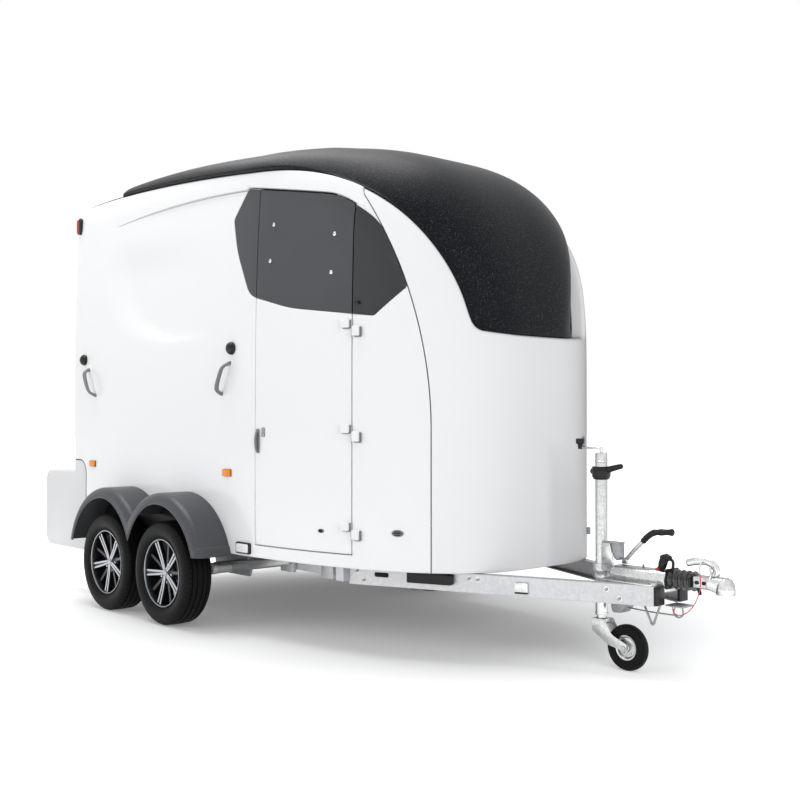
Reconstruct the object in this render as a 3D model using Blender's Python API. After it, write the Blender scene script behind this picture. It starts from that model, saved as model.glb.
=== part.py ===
"""Horse trailer for two horses: a tandem-axle body with a round nose, entry door, rear ramp and V drawbar.

Stations: x = 0 at the rear axle, +X forward to the coupling, +Y left, z = 0 on the ground, metres.
The last step moves the whole trailer so that x = 0 is the middle of its overall length.
"""

import math

import bmesh
import bpy
import numpy as np

# Body skin: a superellipse in plan, carried up a straight wall and over a crown. The ramp's width drives it.
RAMP_HALF_WIDTH = 0.715
SIDE_FRAME = 0.165
HALF_WIDTH = RAMP_HALF_WIDTH + SIDE_FRAME
REAR_X = -0.81
NOSE_START_X = 1.18
NOSE_LENGTH = 1.49
NOSE_POWER = 3.26
SKIRT_Z = 0.44
SHOULDER_SIDE_Z = 2.462
SHOULDER_NOSE_Z = 1.265
ROOF_POWER_SIDE = 3.6
ROOF_POWER_NOSE = 2.89
CROWN_Z = 2.733
CROWN_SLOPE = -0.169
CROWN_CURVE = -0.073
LEAN = 0.03
LEAN_FROM_Z = 1.5
LEAN_HEIGHT = 1.0
LEAN_POWER = 1.6

# Panels of the body
WALL = 0.030
GAP = 0.0003
JOINT_GAP = 0.0003
EDGE_GAP = 0.0004
RAIL_REAR_Z = 2.663
RAIL_DROP = 0.088
RAIL_DROP_POWER = 2.2
FRONT_PANEL_Z = 1.625
FRONT_PANEL_ANGLE = math.radians(71.0)
FRONT_PANEL_ROUND = 1.6
SEAM_ANGLE = math.radians(58.3)
SEAM_TOP_ANGLE = math.radians(38.5)
SEAM_STRAIGHT_Z = 1.15
SEAM_TOP_Z = 2.35
SEAM_POWER = 2.0
ROOF_REAR_X = -0.26
ROOF_LIFT = 0.020
EDGE_ROLL = 0.02

# Columns and rows of the panels' grids
REAR_COLUMNS = 4
SIDE_COLUMNS = 7
TURN_COLUMNS = 9
NOSE_COLUMNS = 17
WALL_ROWS = 15
ROOF_ROWS = 8

# Entry door and side windows: x is given as a share of the nose's length from where the flank starts to curve
DOOR_REAR_X = NOSE_START_X + 0.1141 * NOSE_LENGTH
DOOR_FRONT_X = NOSE_START_X + 0.5839 * NOSE_LENGTH
DOOR_SILL_Z = 0.512
DOOR_GAP = 0.005
DOOR_HINGE_X = DOOR_FRONT_X + DOOR_GAP / 2
HINGE_STAND_OFF = 0.0184
DOOR_HINGE_Z = (0.635, 1.131, 1.666)
HINGE_BARREL = 0.045
HINGE_PIN = 0.022
HINGE_LEAF = 0.035
HINGE_SINK = 0.030
HINGE_TRIM = 0.002
GLASS = 0.005
GLASS_SEAT = 0.0006
SIGHT_STILE = 0.040
SIGHT_BORDER = 0.055
# Window outline in side view from its lower rear corner round: (share of the nose's length, z, corner radius)
WINDOW_TABLE = (
    (0.0705, 1.885, 0.060),
    (0.6678, 1.720, 0.030),
    (0.7819, 1.862, 0.030),
    (0.6946, 2.185, 0.250),
    (0.5268, 2.355, 0.350),
    (0.0369, 2.482, 0.030),
    (-0.0503, 2.325, 0.040),
)
WINDOW_CORNERS = tuple((NOSE_START_X + share * NOSE_LENGTH, z, radius) for share, z, radius in WINDOW_TABLE)
# Cutters through a side reach from NEAR_REACH to FAR_REACH off the middle plane, and past the panel by FAR
NEAR_REACH = 0.34 * HALF_WIDTH
FAR_REACH = 1.36 * HALF_WIDTH
FAR = 9.0
CUT_PAST = 0.100

# Fittings on the right side: a handle is three (x, z) places, its upper end, its middle and its lower end
GRAB_HANDLES = {
    "rear": ((-0.506, 1.548), (-0.650, 1.440), (-0.598, 1.345)),
    "front": ((1.118, 1.513), (0.975, 1.425), (1.030, 1.306)),
}
GRAB_RADIUS = 0.010
GRAB_REACH = 0.048
KNOBS = {"rear": (-0.665, 1.595), "front": (1.125, 1.595)}
KNOB_RADIUS = 0.035
KNOB_HEIGHT = 0.030
DOOR_HANDLE_X = DOOR_REAR_X + 0.028
DOOR_HANDLE_Z = (1.020, 1.135)
DOOR_HANDLE_REACH = 0.032
DOOR_HANDLE_RADIUS = 0.0095
HIGH_LAMP_Y = (HALF_WIDTH - 0.055, HALF_WIDTH - 0.018)
HIGH_LAMP_Z = (2.455, 2.585)
HIGH_LAMP_DEPTH = 0.034

# Rear opening, ramp, flap and light pods
PORTAL_DEPTH = 0.050
PORTAL_TOP_Z = 2.520
PORTAL_CORNER = 0.120
PORTAL_LAP = 0.020
SHUT_GAP = 0.005
RAMP_TOP_Z = 1.860
RAMP_SILL_Z = 0.470
RAMP_THICK = 0.045
FLAP_THICK = 0.030
FLAP_HINGE_DEPTH = 0.011
BARREL = 0.010
BARREL_HALF = 0.450
PIN_LENGTH = 0.060
NOTCH = 0.016
POD_REAR_X = -1.260
POD_FRONT_X = -0.640
POD_BOTTOM_Z = 0.300
POD_TOP_Z = 0.830
POD_SIDE_TOP_Z = 0.915
POD_CLEARANCE = 0.025
POD_INNER_Y = RAMP_HALF_WIDTH + POD_CLEARANCE
POD_LAP = 0.010
POD_ROUND = 0.090
POD_TAIL_ROUND = 0.070
LAMP_PROUD = 0.010
LAMP_MARGIN = 0.020
LAMP_Z = (POD_BOTTOM_Z + 0.100, POD_TOP_Z - 0.110)

# Running gear: wheel profiles are (radius, offset towards the outer side)
AXLE_SPACING = 0.674
TYRE_RADIUS = 0.302
TYRE_WIDTH = 0.185
RIM_RADIUS = 0.2025
RIM_HALF_WIDTH = 0.078
RIM_WALL = 0.006
RIM_LIP = 0.0075
TYRE_SEAT_RADIUS = 0.190
HUB_RADIUS = 0.042
DRUM_RADIUS = 0.115
DRUM_DEPTH = 0.050
DRUM_INSET = 0.008
WHEEL_SIDES = 32
# Arms of a rim, five wide grooved and five slim: (share of the reach, half-width, face offset) of both ends
ARM_COUNT = 5
ARM_TURN = {"rear": math.radians(49.2), "front": math.radians(40.7)}
WIDE_ARM = ((0.0, 0.0170, 0.0530), (1.0, 0.0215, 0.0650))
SLIM_ARM = ((0.0, 0.0110, 0.0430), (1.0, 0.0095, 0.0550))
ARM_GROOVE = ((0.25, 0.0030, 0.0750), (1.0, 0.0055, 0.0750))
ARM_DEPTH = 0.022
GROOVE_DEPTH = 0.018
SPINDLE_RADIUS = 0.020
BEARING_GAP = 0.0008
SPINDLE_REACH = 0.055
ARM_LENGTH = 0.160
ARM_THICK = 0.030
ARM_HALF_HEIGHT = 0.034
ARM_ROUND = 0.025
BEAM_RADIUS = 0.035
BEAM_INSET = 0.080
BEAM_HALF_LENGTH = HALF_WIDTH - BEAM_INSET
WHEEL_CLEARANCE = 0.0647
WHEEL_MIDDLE_Y = BEAM_HALF_LENGTH + GAP + ARM_THICK + WHEEL_CLEARANCE + TYRE_WIDTH / 2
GUARD_CLEARANCE = 0.020
GUARD_OUTER_Y = WHEEL_MIDDLE_Y + TYRE_WIDTH / 2 + GUARD_CLEARANCE
GUARD_LIP_RADIUS = AXLE_SPACING / 2 + 0.063
GUARD_RADIUS = GUARD_LIP_RADIUS + 0.065
GUARD_ROUND = 0.050
GUARD_WALL = 0.006
GUARD_REAR_Z = 0.410
GUARD_FRONT_Z = 0.365

# Chassis and drawbar
RAIL_INSET = 0.260
RAIL_Y = HALF_WIDTH - RAIL_INSET
RAIL_WIDTH = 0.050
RAIL_BOTTOM_Z = 0.360
CROSS_FRONT_X = (1.885, 1.945)
CROSS_REAR_X = (-0.780, -0.720)
CROSS_REACH = HALF_WIDTH - 0.140
FLOOR_THICK = 0.022
BEAM_REAR_Y = RAIL_Y + 0.052
BEAM_FRONT_X = 3.420
BEAM_TOP_Z = 0.4385
BEAM_BOTTOM_Z = 0.345
BEAM_HALF_WIDTH = 0.0265
BEAM_WALL = 0.006
HOUSING_X = (3.120, 3.430)
HOUSING_Z = (0.400, 0.500)
HOUSING_HALF_WIDTH = 0.0605
BEAM_FRONT_Y = HOUSING_HALF_WIDTH + BEAM_HALF_WIDTH + 0.001
PLATE_HALF_WIDTH = 0.145
PLATE_THICK = 0.008
COUPLING_Z = 0.465
DRAW_TUBE = 0.025
BELLOWS_X = (3.436, 3.556)
BELLOWS_RADII = (0.047, 0.036)
BELLOWS_FOLDS = 5
HEAD_HALF_WIDTH = 0.034
BALL_X = 3.712
BALL_RADIUS = 0.0255
TIP_X = 3.755
# Head in side view: (x, rise over the coupling's axis, corner radius)
HEAD_OUTLINE = (
    (BELLOWS_X[1] + GAP, -0.027, 0.0),
    (3.640, -0.030, 0.020),
    (3.690, -0.045, 0.010),
    (TIP_X, -0.045, 0.012),
    (TIP_X, 0.015, 0.030),
    (3.690, 0.033, 0.030),
    (BELLOWS_X[1] + GAP, 0.030, 0.0),
)
# Coupling handle in side view, in the same terms
HANDLE_OUTLINE = (
    (3.600, 0.025, 0.0),
    (3.655, 0.025, 0.010),
    (3.640, 0.055, 0.010),
    (3.505, 0.091, 0.004),
    (3.500, 0.080, 0.004),
    (3.600, 0.047, 0.010),
)
HANDLE_HALF_WIDTH = 0.014
# Handbrake lever: (x, rise over the housing's top)
LEVER_ROUTE = (
    (3.140, 0.012),
    (3.165, 0.040),
    (3.200, 0.078),
    (3.256, 0.124),
    (3.300, 0.148),
    (3.350, 0.164),
    (3.405, 0.180),
)
LEVER_RADIUS = 0.009
LEVER_INSET = 0.020

# Jockey wheel
JOCKEY_X = 3.030
JOCKEY_TUBE = 0.030
JOCKEY_TOP_Z = 1.035
JOCKEY_TUBE_BOTTOM_Z = 0.245
JOCKEY_LEG = 0.024
JOCKEY_WHEEL_RADIUS = 0.110
JOCKEY_WHEEL_HALF = 0.025
JOCKEY_TRAIL = 0.155
FORK_GAP = 0.006
FORK_WALL = 0.005
CLAMP_HALF = 0.045
CLAMP_Z = (0.430, 0.500)
GUSSET_Y = (-0.043, -0.038)
# Gusset of the clamp in side view: (ahead of the tube's axis, z, corner radius)
GUSSET_OUTLINE = ((0.032, 0.488, 0.0), (0.120, 0.488, 0.0), (0.156, 0.610, 0.006), (0.032, 0.610, 0.004))
CRANK_Z = JOCKEY_TOP_Z + 0.022
CRANK_RADIUS = 0.007
CRANK_REACH = 0.130
CRANK_KNOB = (0.018, 0.046)
GRIP_Z = JOCKEY_TOP_Z - 0.080
GRIP_RADIUS = 0.014
GRIP_X = (JOCKEY_X - 0.052, JOCKEY_X + 0.120)
# Fork cheek in side view: (ahead of the tube's axis, drop under the tube's end, corner radius)
CHEEK_OUTLINE = (
    (-0.040, 0.012, 0.006),
    (-0.030, 0.075, 0.020),
    (0.060, 0.130, 0.050),
    (0.173, 0.155, 0.012),
    (0.173, 0.115, 0.012),
    (0.085, 0.080, 0.050),
    (0.045, 0.012, 0.006),
)

OVERALL_MIDDLE = (POD_REAR_X - LAMP_PROUD + TIP_X) / 2

WHITE = ("white_body", (0.86, 0.86, 0.86), 0.25, 0.0)
BLACK_ROOF = ("black_roof", (0.03, 0.03, 0.033), 0.55, 0.0)
GLASS_DARK = ("window_glass", (0.06, 0.065, 0.07), 0.1, 0.0)
PLASTIC = ("dark_plastic", (0.06, 0.063, 0.068), 0.5, 0.0)
GALVANISED = ("galvanised_steel", (0.62, 0.63, 0.64), 0.45, 0.9)
TYRE_BLACK = ("tyre", (0.03, 0.03, 0.03), 0.85, 0.0)
ALLOY = ("alloy", (0.65, 0.66, 0.67), 0.3, 1.0)
RED_LENS = ("red_lens", (0.5, 0.02, 0.02), 0.2, 0.0)
WOOD_DECK = ("deck_board", (0.12, 0.08, 0.05), 0.7, 0.0)


def material(look):
    name, colour, roughness, metallic = look
    made = bpy.data.materials.get(name)
    if made is None:
        made = bpy.data.materials.new(name)
        made.use_nodes = True
        shader = made.node_tree.nodes["Principled BSDF"]
        shader.inputs["Base Color"].default_value = (*colour, 1.0)
        shader.inputs["Roughness"].default_value = roughness
        shader.inputs["Metallic"].default_value = metallic
        made.diffuse_color = (*colour, 1.0)
    return made


def new_object(name, points, faces, look=None):
    """A mesh object with its doubles merged and its faces turned outwards. Without a look it is a cutter."""
    mesh = bpy.data.meshes.new(name)
    mesh.from_pydata([tuple(p) for p in points], [], faces)
    work = bmesh.new()
    work.from_mesh(mesh)
    bmesh.ops.remove_doubles(work, verts=work.verts, dist=0.00002)
    bmesh.ops.recalc_face_normals(work, faces=work.faces)
    work.to_mesh(mesh)
    work.free()
    obj = bpy.data.objects.new(name, mesh)
    bpy.context.scene.collection.objects.link(obj)
    if look is None:
        obj.hide_render = True
        obj.display_type = "WIRE"
    else:
        mesh.materials.append(material(look))
        mesh.shade_smooth()
        mesh.set_sharp_from_angle(angle=math.radians(35))
    return obj


def boolean(obj, operation, other):
    step = obj.modifiers.new(f"{operation.lower()} {other.name}", "BOOLEAN")
    step.operation = operation
    step.object = other
    step.solver = "EXACT"
    return obj


def prism(name, outline, low, high, axis="y", look=None):
    """A closed outline pushed along an axis: the outline is (x, z) for y, (x, y) for z and (y, z) for x."""
    order = {"x": (2, 0, 1), "y": (0, 2, 1), "z": (0, 1, 2)}[axis]
    count = len(outline)
    points = []
    for level in (low, high):
        for a, b in outline:
            triple = (a, b, level)
            points.append(tuple(triple[i] for i in order))
    faces = [tuple(range(count)), tuple(range(2 * count - 1, count - 1, -1))]
    faces += [(i, (i + 1) % count, (i + 1) % count + count, i + count) for i in range(count)]
    return new_object(name, points, faces, look)


def block(name, low, high, look=None):
    outline = ((low[0], low[1]), (high[0], low[1]), (high[0], high[1]), (low[0], high[1]))
    return prism(name, outline, low[2], high[2], "z", look)


def turned(name, profile, centre, axis="y", sides=32, look=None):
    """A closed profile of (radius, offset along the axis) spun round an axis through centre."""
    angles = np.arange(sides) * 2 * math.pi / sides
    radius, along = np.array(profile, float).T
    ring = np.stack([np.outer(np.cos(angles), radius), np.outer(np.sin(angles), radius)], -1)
    offset = np.broadcast_to(along, ring.shape[:2])
    order = {"x": (2, 0, 1), "y": (0, 2, 1), "z": (0, 1, 2)}[axis]
    grid = np.stack([ring[..., 0], ring[..., 1], offset], -1)[..., order] + np.array(centre)
    count = len(profile)
    faces = [
        (i * count + j, i * count + k, (i + 1) % sides * count + k, (i + 1) % sides * count + j)
        for i in range(sides)
        for j, k in ((j, (j + 1) % count) for j in range(count))
    ]
    return new_object(name, grid.reshape(-1, 3), faces, look)


def rod(name, start, end, radius, sides=16, look=None, tip=None):
    """A round bar from start to end, of one radius or of another at its end."""
    start, end = np.array(start, float), np.array(end, float)
    along = (end - start) / np.linalg.norm(end - start)
    side = np.cross(along, (0, 0, 1) if abs(along[2]) < 0.9 else (1, 0, 0))
    side /= np.linalg.norm(side)
    other = np.cross(along, side)
    angles = np.arange(sides)[:, None] * 2 * math.pi / sides
    ring = np.cos(angles) * side + np.sin(angles) * other
    points = np.concatenate([start + radius * ring, end + (tip or radius) * ring])
    faces = [tuple(range(sides)), tuple(range(2 * sides - 1, sides - 1, -1))]
    faces += [(i, (i + 1) % sides, (i + 1) % sides + sides, i + sides) for i in range(sides)]
    return new_object(name, points, faces, look)


def bent_bar(name, route, radius, sides=12, look=None):
    """A round bar along a route, as a curve with a bevel, made a mesh."""
    curve = bpy.data.curves.new(name, "CURVE")
    curve.dimensions = "3D"
    curve.bevel_depth = radius
    curve.bevel_resolution = sides // 4 - 1
    curve.use_fill_caps = True
    spline = curve.splines.new("POLY")
    spline.points.add(len(route) - 1)
    for point, place in zip(spline.points, route):
        point.co = (*place, 1.0)
    holder = bpy.data.objects.new(name, curve)
    bpy.context.scene.collection.objects.link(holder)
    mesh = bpy.data.meshes.new_from_object(holder)
    points = [v.co.copy() for v in mesh.vertices]
    faces = [tuple(p.vertices) for p in mesh.polygons]
    bpy.data.objects.remove(holder)
    return new_object(name, points, faces, look)


def rounded(corners, steps=5, grow=0.0):
    """The outline through corners (a, b, radius) with arcs at its corners; grow moves the sides outwards."""
    places = np.array([c[:2] for c in corners], float)
    radii = np.array([c[2] for c in corners], float)
    area = np.sum(places[:, 0] * np.roll(places[:, 1], -1) - np.roll(places[:, 0], -1) * places[:, 1])
    turn = 1.0 if area > 0 else -1.0
    if grow:
        before, after = places - np.roll(places, 1, 0), np.roll(places, -1, 0) - places
        before /= np.linalg.norm(before, axis=1)[:, None]
        after /= np.linalg.norm(after, axis=1)[:, None]
        out_before = turn * np.stack([before[:, 1], -before[:, 0]], 1)
        out_after = turn * np.stack([after[:, 1], -after[:, 0]], 1)
        middle = out_before + out_after
        places = places + grow * middle * 2 / np.sum(middle * middle, axis=1)[:, None]
        radii = np.maximum(radii + grow, 0.002)
    outline = []
    count = len(places)
    for i in range(count):
        corner, radius = places[i], radii[i]
        back = places[i - 1] - corner
        ahead = places[(i + 1) % count] - corner
        back /= np.linalg.norm(back)
        ahead /= np.linalg.norm(ahead)
        half = math.acos(np.clip(back @ ahead, -1, 1)) / 2
        if radius <= 0:
            outline.append(tuple(corner))
            continue
        reach = radius / math.tan(half)
        centre = corner + (back + ahead) / np.linalg.norm(back + ahead) * radius / math.sin(half)
        first, last = corner + back * reach - centre, corner + ahead * reach - centre
        start = math.atan2(first[1], first[0])
        sweep = (math.atan2(last[1], last[0]) - start + math.pi) % (2 * math.pi) - math.pi
        for k in range(steps + 1):
            angle = start + sweep * k / steps
            outline.append((centre[0] + radius * math.cos(angle), centre[1] + radius * math.sin(angle)))
    return outline


def crown_z(spine_x):
    ahead = spine_x - NOSE_START_X
    return CROWN_Z + CROWN_SLOPE * ahead + CROWN_CURVE * ahead**2


def skin(station, height, inset=0.0, by_angle=False):
    """Points of the body skin, moved inwards by inset.

    station is the x of a side where it is under NOSE_START_X; past it, NOSE_START_X plus the plan angle
    round the nose, 0 at the side and pi / 2 at the tip. height is z, or with by_angle the angle round the
    crown's section, 0 at the shoulder and pi / 2 at the middle of the roof. The points lie on the right, -Y.
    """
    station, height, inset = np.broadcast_arrays(np.asarray(station, float), height, inset)
    angle = np.maximum(station - NOSE_START_X, 0.0)
    spine_x = np.minimum(station, NOSE_START_X)
    out_x = (NOSE_LENGTH - inset) * np.sin(angle)
    out_y = -(HALF_WIDTH - inset) * np.sign(np.cos(angle)) * np.abs(np.cos(angle)) ** (2 / NOSE_POWER)
    noseward = np.sin(angle) ** 2
    power = ROOF_POWER_SIDE + (ROOF_POWER_NOSE - ROOF_POWER_SIDE) * noseward
    shoulder = SHOULDER_SIDE_Z + (SHOULDER_NOSE_Z - SHOULDER_SIDE_Z) * noseward
    top = crown_z(spine_x) - inset
    if by_angle:
        share = np.sin(height) ** (2 / power)
        z = shoulder + (top - shoulder) * share
    else:
        z = height
        share = np.clip((z - shoulder) / (top - shoulder), 0.0, 1.0)
    out = (1 - share**power) ** (1 / power)
    lean = 1 - LEAN * np.clip((z - LEAN_FROM_Z) / LEAN_HEIGHT, 0, 1) ** LEAN_POWER
    x = spine_x + out_x * out
    return np.stack([x, out_y * out * lean, z], -1)


def flank_y(x, z):
    """The right skin's y at an x of the flank or the nose."""
    angle = math.asin(max(x - NOSE_START_X, 0.0) / NOSE_LENGTH)
    return float(skin(min(x, NOSE_START_X) + angle, z)[1])


def edge_z(station):
    """Height of the line where the white body meets the black roof and front panel."""
    angle = np.maximum(station - NOSE_START_X, 0.0)
    angle = np.minimum(angle, math.pi - angle)
    along = np.clip((station - REAR_X) / (NOSE_START_X - REAR_X), 0.0, 1.0)
    side = RAIL_REAR_Z - RAIL_DROP * along**RAIL_DROP_POWER
    share = np.clip(angle / FRONT_PANEL_ANGLE, 0.0, 1.0)
    nose = (1 - share**2) ** (1 / FRONT_PANEL_ROUND)
    return np.where(angle > 0, FRONT_PANEL_Z + (RAIL_REAR_Z - RAIL_DROP - FRONT_PANEL_Z) * nose, side)


def edge_angle(station, inset):
    """The height just over edge_z as an angle round the crown's section."""
    angle = np.maximum(station - NOSE_START_X, 0.0)
    noseward = np.sin(angle) ** 2
    power = ROOF_POWER_SIDE + (ROOF_POWER_NOSE - ROOF_POWER_SIDE) * noseward
    shoulder = SHOULDER_SIDE_Z + (SHOULDER_NOSE_Z - SHOULDER_SIDE_Z) * noseward
    top = crown_z(np.minimum(station, NOSE_START_X)) - inset
    share = np.clip((edge_z(station) + EDGE_GAP - shoulder) / (top - shoulder), 0.0, 1.0)
    return np.arcsin(share ** (power / 2))


def seam_station(z):
    """Station of the seam between the side wall and the nose, which leans back at the top."""
    rise = np.clip((z - SEAM_STRAIGHT_Z) / (SEAM_TOP_Z - SEAM_STRAIGHT_Z), 0.0, 1.0)
    return NOSE_START_X + SEAM_ANGLE + (SEAM_TOP_ANGLE - SEAM_ANGLE) * rise**SEAM_POWER


def shell(name, outer, inner, look=None, mirror=False, closes_on_top=False):
    """A closed solid between two point grids of the same shape, (stations, rows, 3).

    With closes_on_top the last rows of the stations meet each other, so no wall is made there.
    """
    columns, rows = outer.shape[:2]
    points = np.concatenate([outer.reshape(-1, 3), inner.reshape(-1, 3)])
    if mirror:
        points = points * np.array([1, -1, 1])
    back = columns * rows
    faces = []
    for i in range(columns - 1):
        for j in range(rows - 1):
            a, b = i * rows + j, (i + 1) * rows + j
            c, d = b + 1, a + 1
            faces += [(a, b, c), (a, c, d)]
            faces += [(c + back, b + back, a + back), (d + back, c + back, a + back)]
    last = columns - 1
    edges = [(i * rows, (i + 1) * rows) for i in range(last)]
    edges += [(last * rows + j, last * rows + j + 1) for j in range(rows - 1)]
    edges += [(j + 1, j) for j in range(rows - 1)]
    if not closes_on_top:
        edges += [((i + 1) * rows + rows - 1, i * rows + rows - 1) for i in range(last)]
    # Two shells that share a border split its faces along the same diagonal, so they meet with an even gap.
    ahead = points[:, 0] + 0.37 * points[:, 2]
    for a, b in edges:
        if ahead[a] > ahead[b]:
            faces += [(b, a, b + back), (a, a + back, b + back)]
        else:
            faces += [(b, a, a + back), (b, a + back, b + back)]
    return new_object(name, points, faces, look)


def side_stations(z):
    """Stations of a side wall's columns at heights z, (1, rows): the last column lies on the nose seam."""
    rear = np.linspace(REAR_X, ROOF_REAR_X, REAR_COLUMNS)
    side = np.linspace(ROOF_REAR_X, NOSE_START_X, SIDE_COLUMNS)[1:]
    fixed = np.concatenate([rear, side])[:, None] + 0 * z
    shares = np.linspace(0, 1, TURN_COLUMNS)[1:, None]
    turned_part = NOSE_START_X + shares * (seam_station(z[:1]) - NOSE_START_X)
    return np.concatenate([fixed, turned_part])


def nose_stations(z):
    shares = np.linspace(0, 1, NOSE_COLUMNS)[:, None]
    first = seam_station(z[:1])
    return first + shares * (2 * NOSE_START_X + math.pi - 2 * first)


def skirt_to_edge(stations_at, rows, inset, low=SKIRT_Z):
    """Skin points of a wall from its lower edge up to the roof edge; each column finds its own height."""
    levels = np.linspace(0, 1, rows)[None, :]
    columns = len(stations_at(np.ones((1, 1))))
    z = np.full((columns, rows), 1.0)
    for _ in range(20):
        station = np.concatenate([stations_at(z[i : i + 1])[i : i + 1] for i in range(columns)])
        z = low + levels * (edge_z(station) - low)
    return station, z


def trimmed(station, gap):
    """Draws a wall's first and last columns back from its seams."""
    station = station.copy()
    station[-1] -= gap
    return station


def wall(name, outset, inset, look=None, mirror=False):
    station, z = skirt_to_edge(side_stations, WALL_ROWS, 0.0)
    station = trimmed(station, JOINT_GAP)
    return shell(name, skin(station, z, outset), skin(station, z, inset), look, mirror)


def nose(name, look):
    station, z = skirt_to_edge(nose_stations, WALL_ROWS, 0.0)
    station[0] += JOINT_GAP
    station[-1] -= JOINT_GAP
    return shell(name, skin(station, z, 0.0), skin(station, z, WALL), look)


def roof_edge_stations():
    """The stations of the walls' upper corners: those of a side and those of the nose."""
    side = skirt_to_edge(side_stations, WALL_ROWS, 0.0)[0][:, -1]
    front = skirt_to_edge(nose_stations, WALL_ROWS, 0.0)[0][:, -1]
    return side, front


def crown_grid(stations, lift, inset):
    """Points from the roof edge to the middle of the roof; past its edge the shell stands proud by lift."""
    stations = stations[:, None]
    levels = np.linspace(0, 1, ROOF_ROWS)[None, :]
    levels = np.where(levels > 0, EDGE_ROLL + (1 - EDGE_ROLL) * levels, 0.0)
    total = inset - lift * (levels > 0) + 0 * stations
    start = edge_angle(stations, total[:, :1])
    height = start + (math.pi / 2 - start) * levels
    return skin(stations, height, total, by_angle=True)


def crown(name, right, over, look, lift):
    """A roof shell: right stations, those over the nose if any, and the same back down the left side."""
    grids = []
    for inset in (0.0, WALL):
        near = crown_grid(np.concatenate([right, over]), lift, inset)
        far = crown_grid(right[::-1], lift, inset) * np.array([1, -1, 1])
        grids.append(np.concatenate([near, far]))
    return shell(name, *grids, look, closes_on_top=True)


def clipped(outline, low, high):
    """The part of a closed outline between two values of its first coordinate."""
    for limit, keeps_above in ((low, True), (high, False)):
        kept = []
        for i, here in enumerate(outline):
            before = outline[i - 1]
            inside = (here[0] > limit) == keeps_above
            was_inside = (before[0] > limit) == keeps_above
            if inside != was_inside:
                share = (limit - before[0]) / (here[0] - before[0])
                kept.append((limit, before[1] + share * (here[1] - before[1])))
            if inside:
                kept.append(here)
        outline = kept
    return outline


def door_outline(grow=0.0):
    """The entry door in side view: straight edges, with the window's upper edge as its top."""
    rear, front = DOOR_REAR_X - grow, DOOR_FRONT_X + grow
    window = clipped(rounded(WINDOW_CORNERS, grow=grow), rear, front)
    middle = sum(z for _, z in window) / len(window)
    top = sorted((p for p in window if p[1] > middle), reverse=True)
    return [(rear, DOOR_SILL_Z - grow), (front, DOOR_SILL_Z - grow)] + top


def build_sides():
    whole_window = rounded(WINDOW_CORNERS)
    sight = rounded(WINDOW_CORNERS, grow=-SIGHT_BORDER)
    seat = rounded(WINDOW_CORNERS, grow=GLASS_SEAT)

    def through(name, outline, side=-1):
        return prism(name, outline, *sorted((side * NEAR_REACH, side * FAR_REACH)))

    panes = {
        "rear": (-FAR, DOOR_REAR_X - DOOR_GAP),
        "door": (DOOR_REAR_X, DOOR_FRONT_X),
        "front": (DOOR_FRONT_X + DOOR_GAP, FAR),
    }
    right = wall("side_wall_right", 0.0, WALL, WHITE)
    left = wall("side_wall_left", 0.0, WALL, WHITE, mirror=True)
    door = wall("entry_door", 0.0, WALL, WHITE)
    rebate = wall("rebate_right", -0.02, GLASS + GLASS_SEAT)
    boolean(rebate, "INTERSECT", through("window_seat", seat))
    rebate_left = wall("rebate_left", -0.02, GLASS + GLASS_SEAT, mirror=True)
    boolean(rebate_left, "INTERSECT", through("window_seat_left", seat, 1))
    boolean(right, "DIFFERENCE", rebate)
    boolean(door, "DIFFERENCE", rebate)
    boolean(left, "DIFFERENCE", rebate_left)
    boolean(right, "DIFFERENCE", through("door_opening", door_outline(DOOR_GAP)))
    boolean(door, "INTERSECT", through("door_blank", door_outline()))
    for name, (low, high) in panes.items():
        pane = wall(f"window_{name}", 0.0, GLASS, GLASS_DARK)
        boolean(pane, "INTERSECT", through(f"pane_{name}", clipped(whole_window, low, high)))
        inner_low, inner_high = low + SIGHT_STILE, high - SIGHT_STILE
        hole = through(f"sight_{name}", clipped(sight, inner_low, inner_high))
        boolean(door if name == "door" else right, "DIFFERENCE", hole)
    pane = wall("window_left", 0.0, GLASS, GLASS_DARK, mirror=True)
    boolean(pane, "INTERSECT", through("pane_left", whole_window, 1))
    boolean(left, "DIFFERENCE", through("sight_left", sight, 1))
    corner = rounded(
        (
            (POD_FRONT_X + GAP, POD_BOTTOM_Z - CUT_PAST, 0.0),
            (POD_FRONT_X + GAP, POD_SIDE_TOP_Z + GAP, POD_ROUND),
            (REAR_X - CUT_PAST, POD_SIDE_TOP_Z + GAP, 0.0),
            (REAR_X - CUT_PAST, POD_BOTTOM_Z - CUT_PAST, 0.0),
        )
    )
    for side, side_wall in ((-1, right), (1, left)):
        boolean(side_wall, "DIFFERENCE", through(f"pod_corner_{side}", corner, side))


def build_ends():
    nose("nose_shell", WHITE)
    side, over = roof_edge_stations()
    rear_count = REAR_COLUMNS
    behind = side[:rear_count].copy()
    behind[-1] -= JOINT_GAP
    crown("rear_crown", behind, side[:0], WHITE, 0.0)
    ahead = side[rear_count - 1 :].copy()
    ahead[0] += JOINT_GAP
    crown("roof_shell", ahead, over[1:-1], BLACK_ROOF, ROOF_LIFT)


def rear_section(inset):
    """The body's section at its rear end, (y, z), from the right skirt over the crown to the left skirt."""
    z = skirt_to_edge(side_stations, WALL_ROWS, 0.0)[1][:1]
    side = skin(REAR_X, z, inset)[0]
    over = crown_grid(np.array([REAR_X]), 0.0, inset)[0]
    right = [(p[1], p[2]) for p in np.concatenate([side, over[1:-1]])]
    return right + [(0.0, over[-1][2])] + [(-y, z) for y, z in right[::-1]]


def box_outline(half_width, low, high, corner=0.0):
    """A rectangle in (y, z) about y = 0 with its two upper corners rounded."""
    lower = ((-half_width, low, 0.0), (half_width, low, 0.0))
    corners = (*lower, (half_width, high, corner), (-half_width, high, corner))
    return rounded(corners) if corner else [c[:2] for c in corners]


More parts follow.
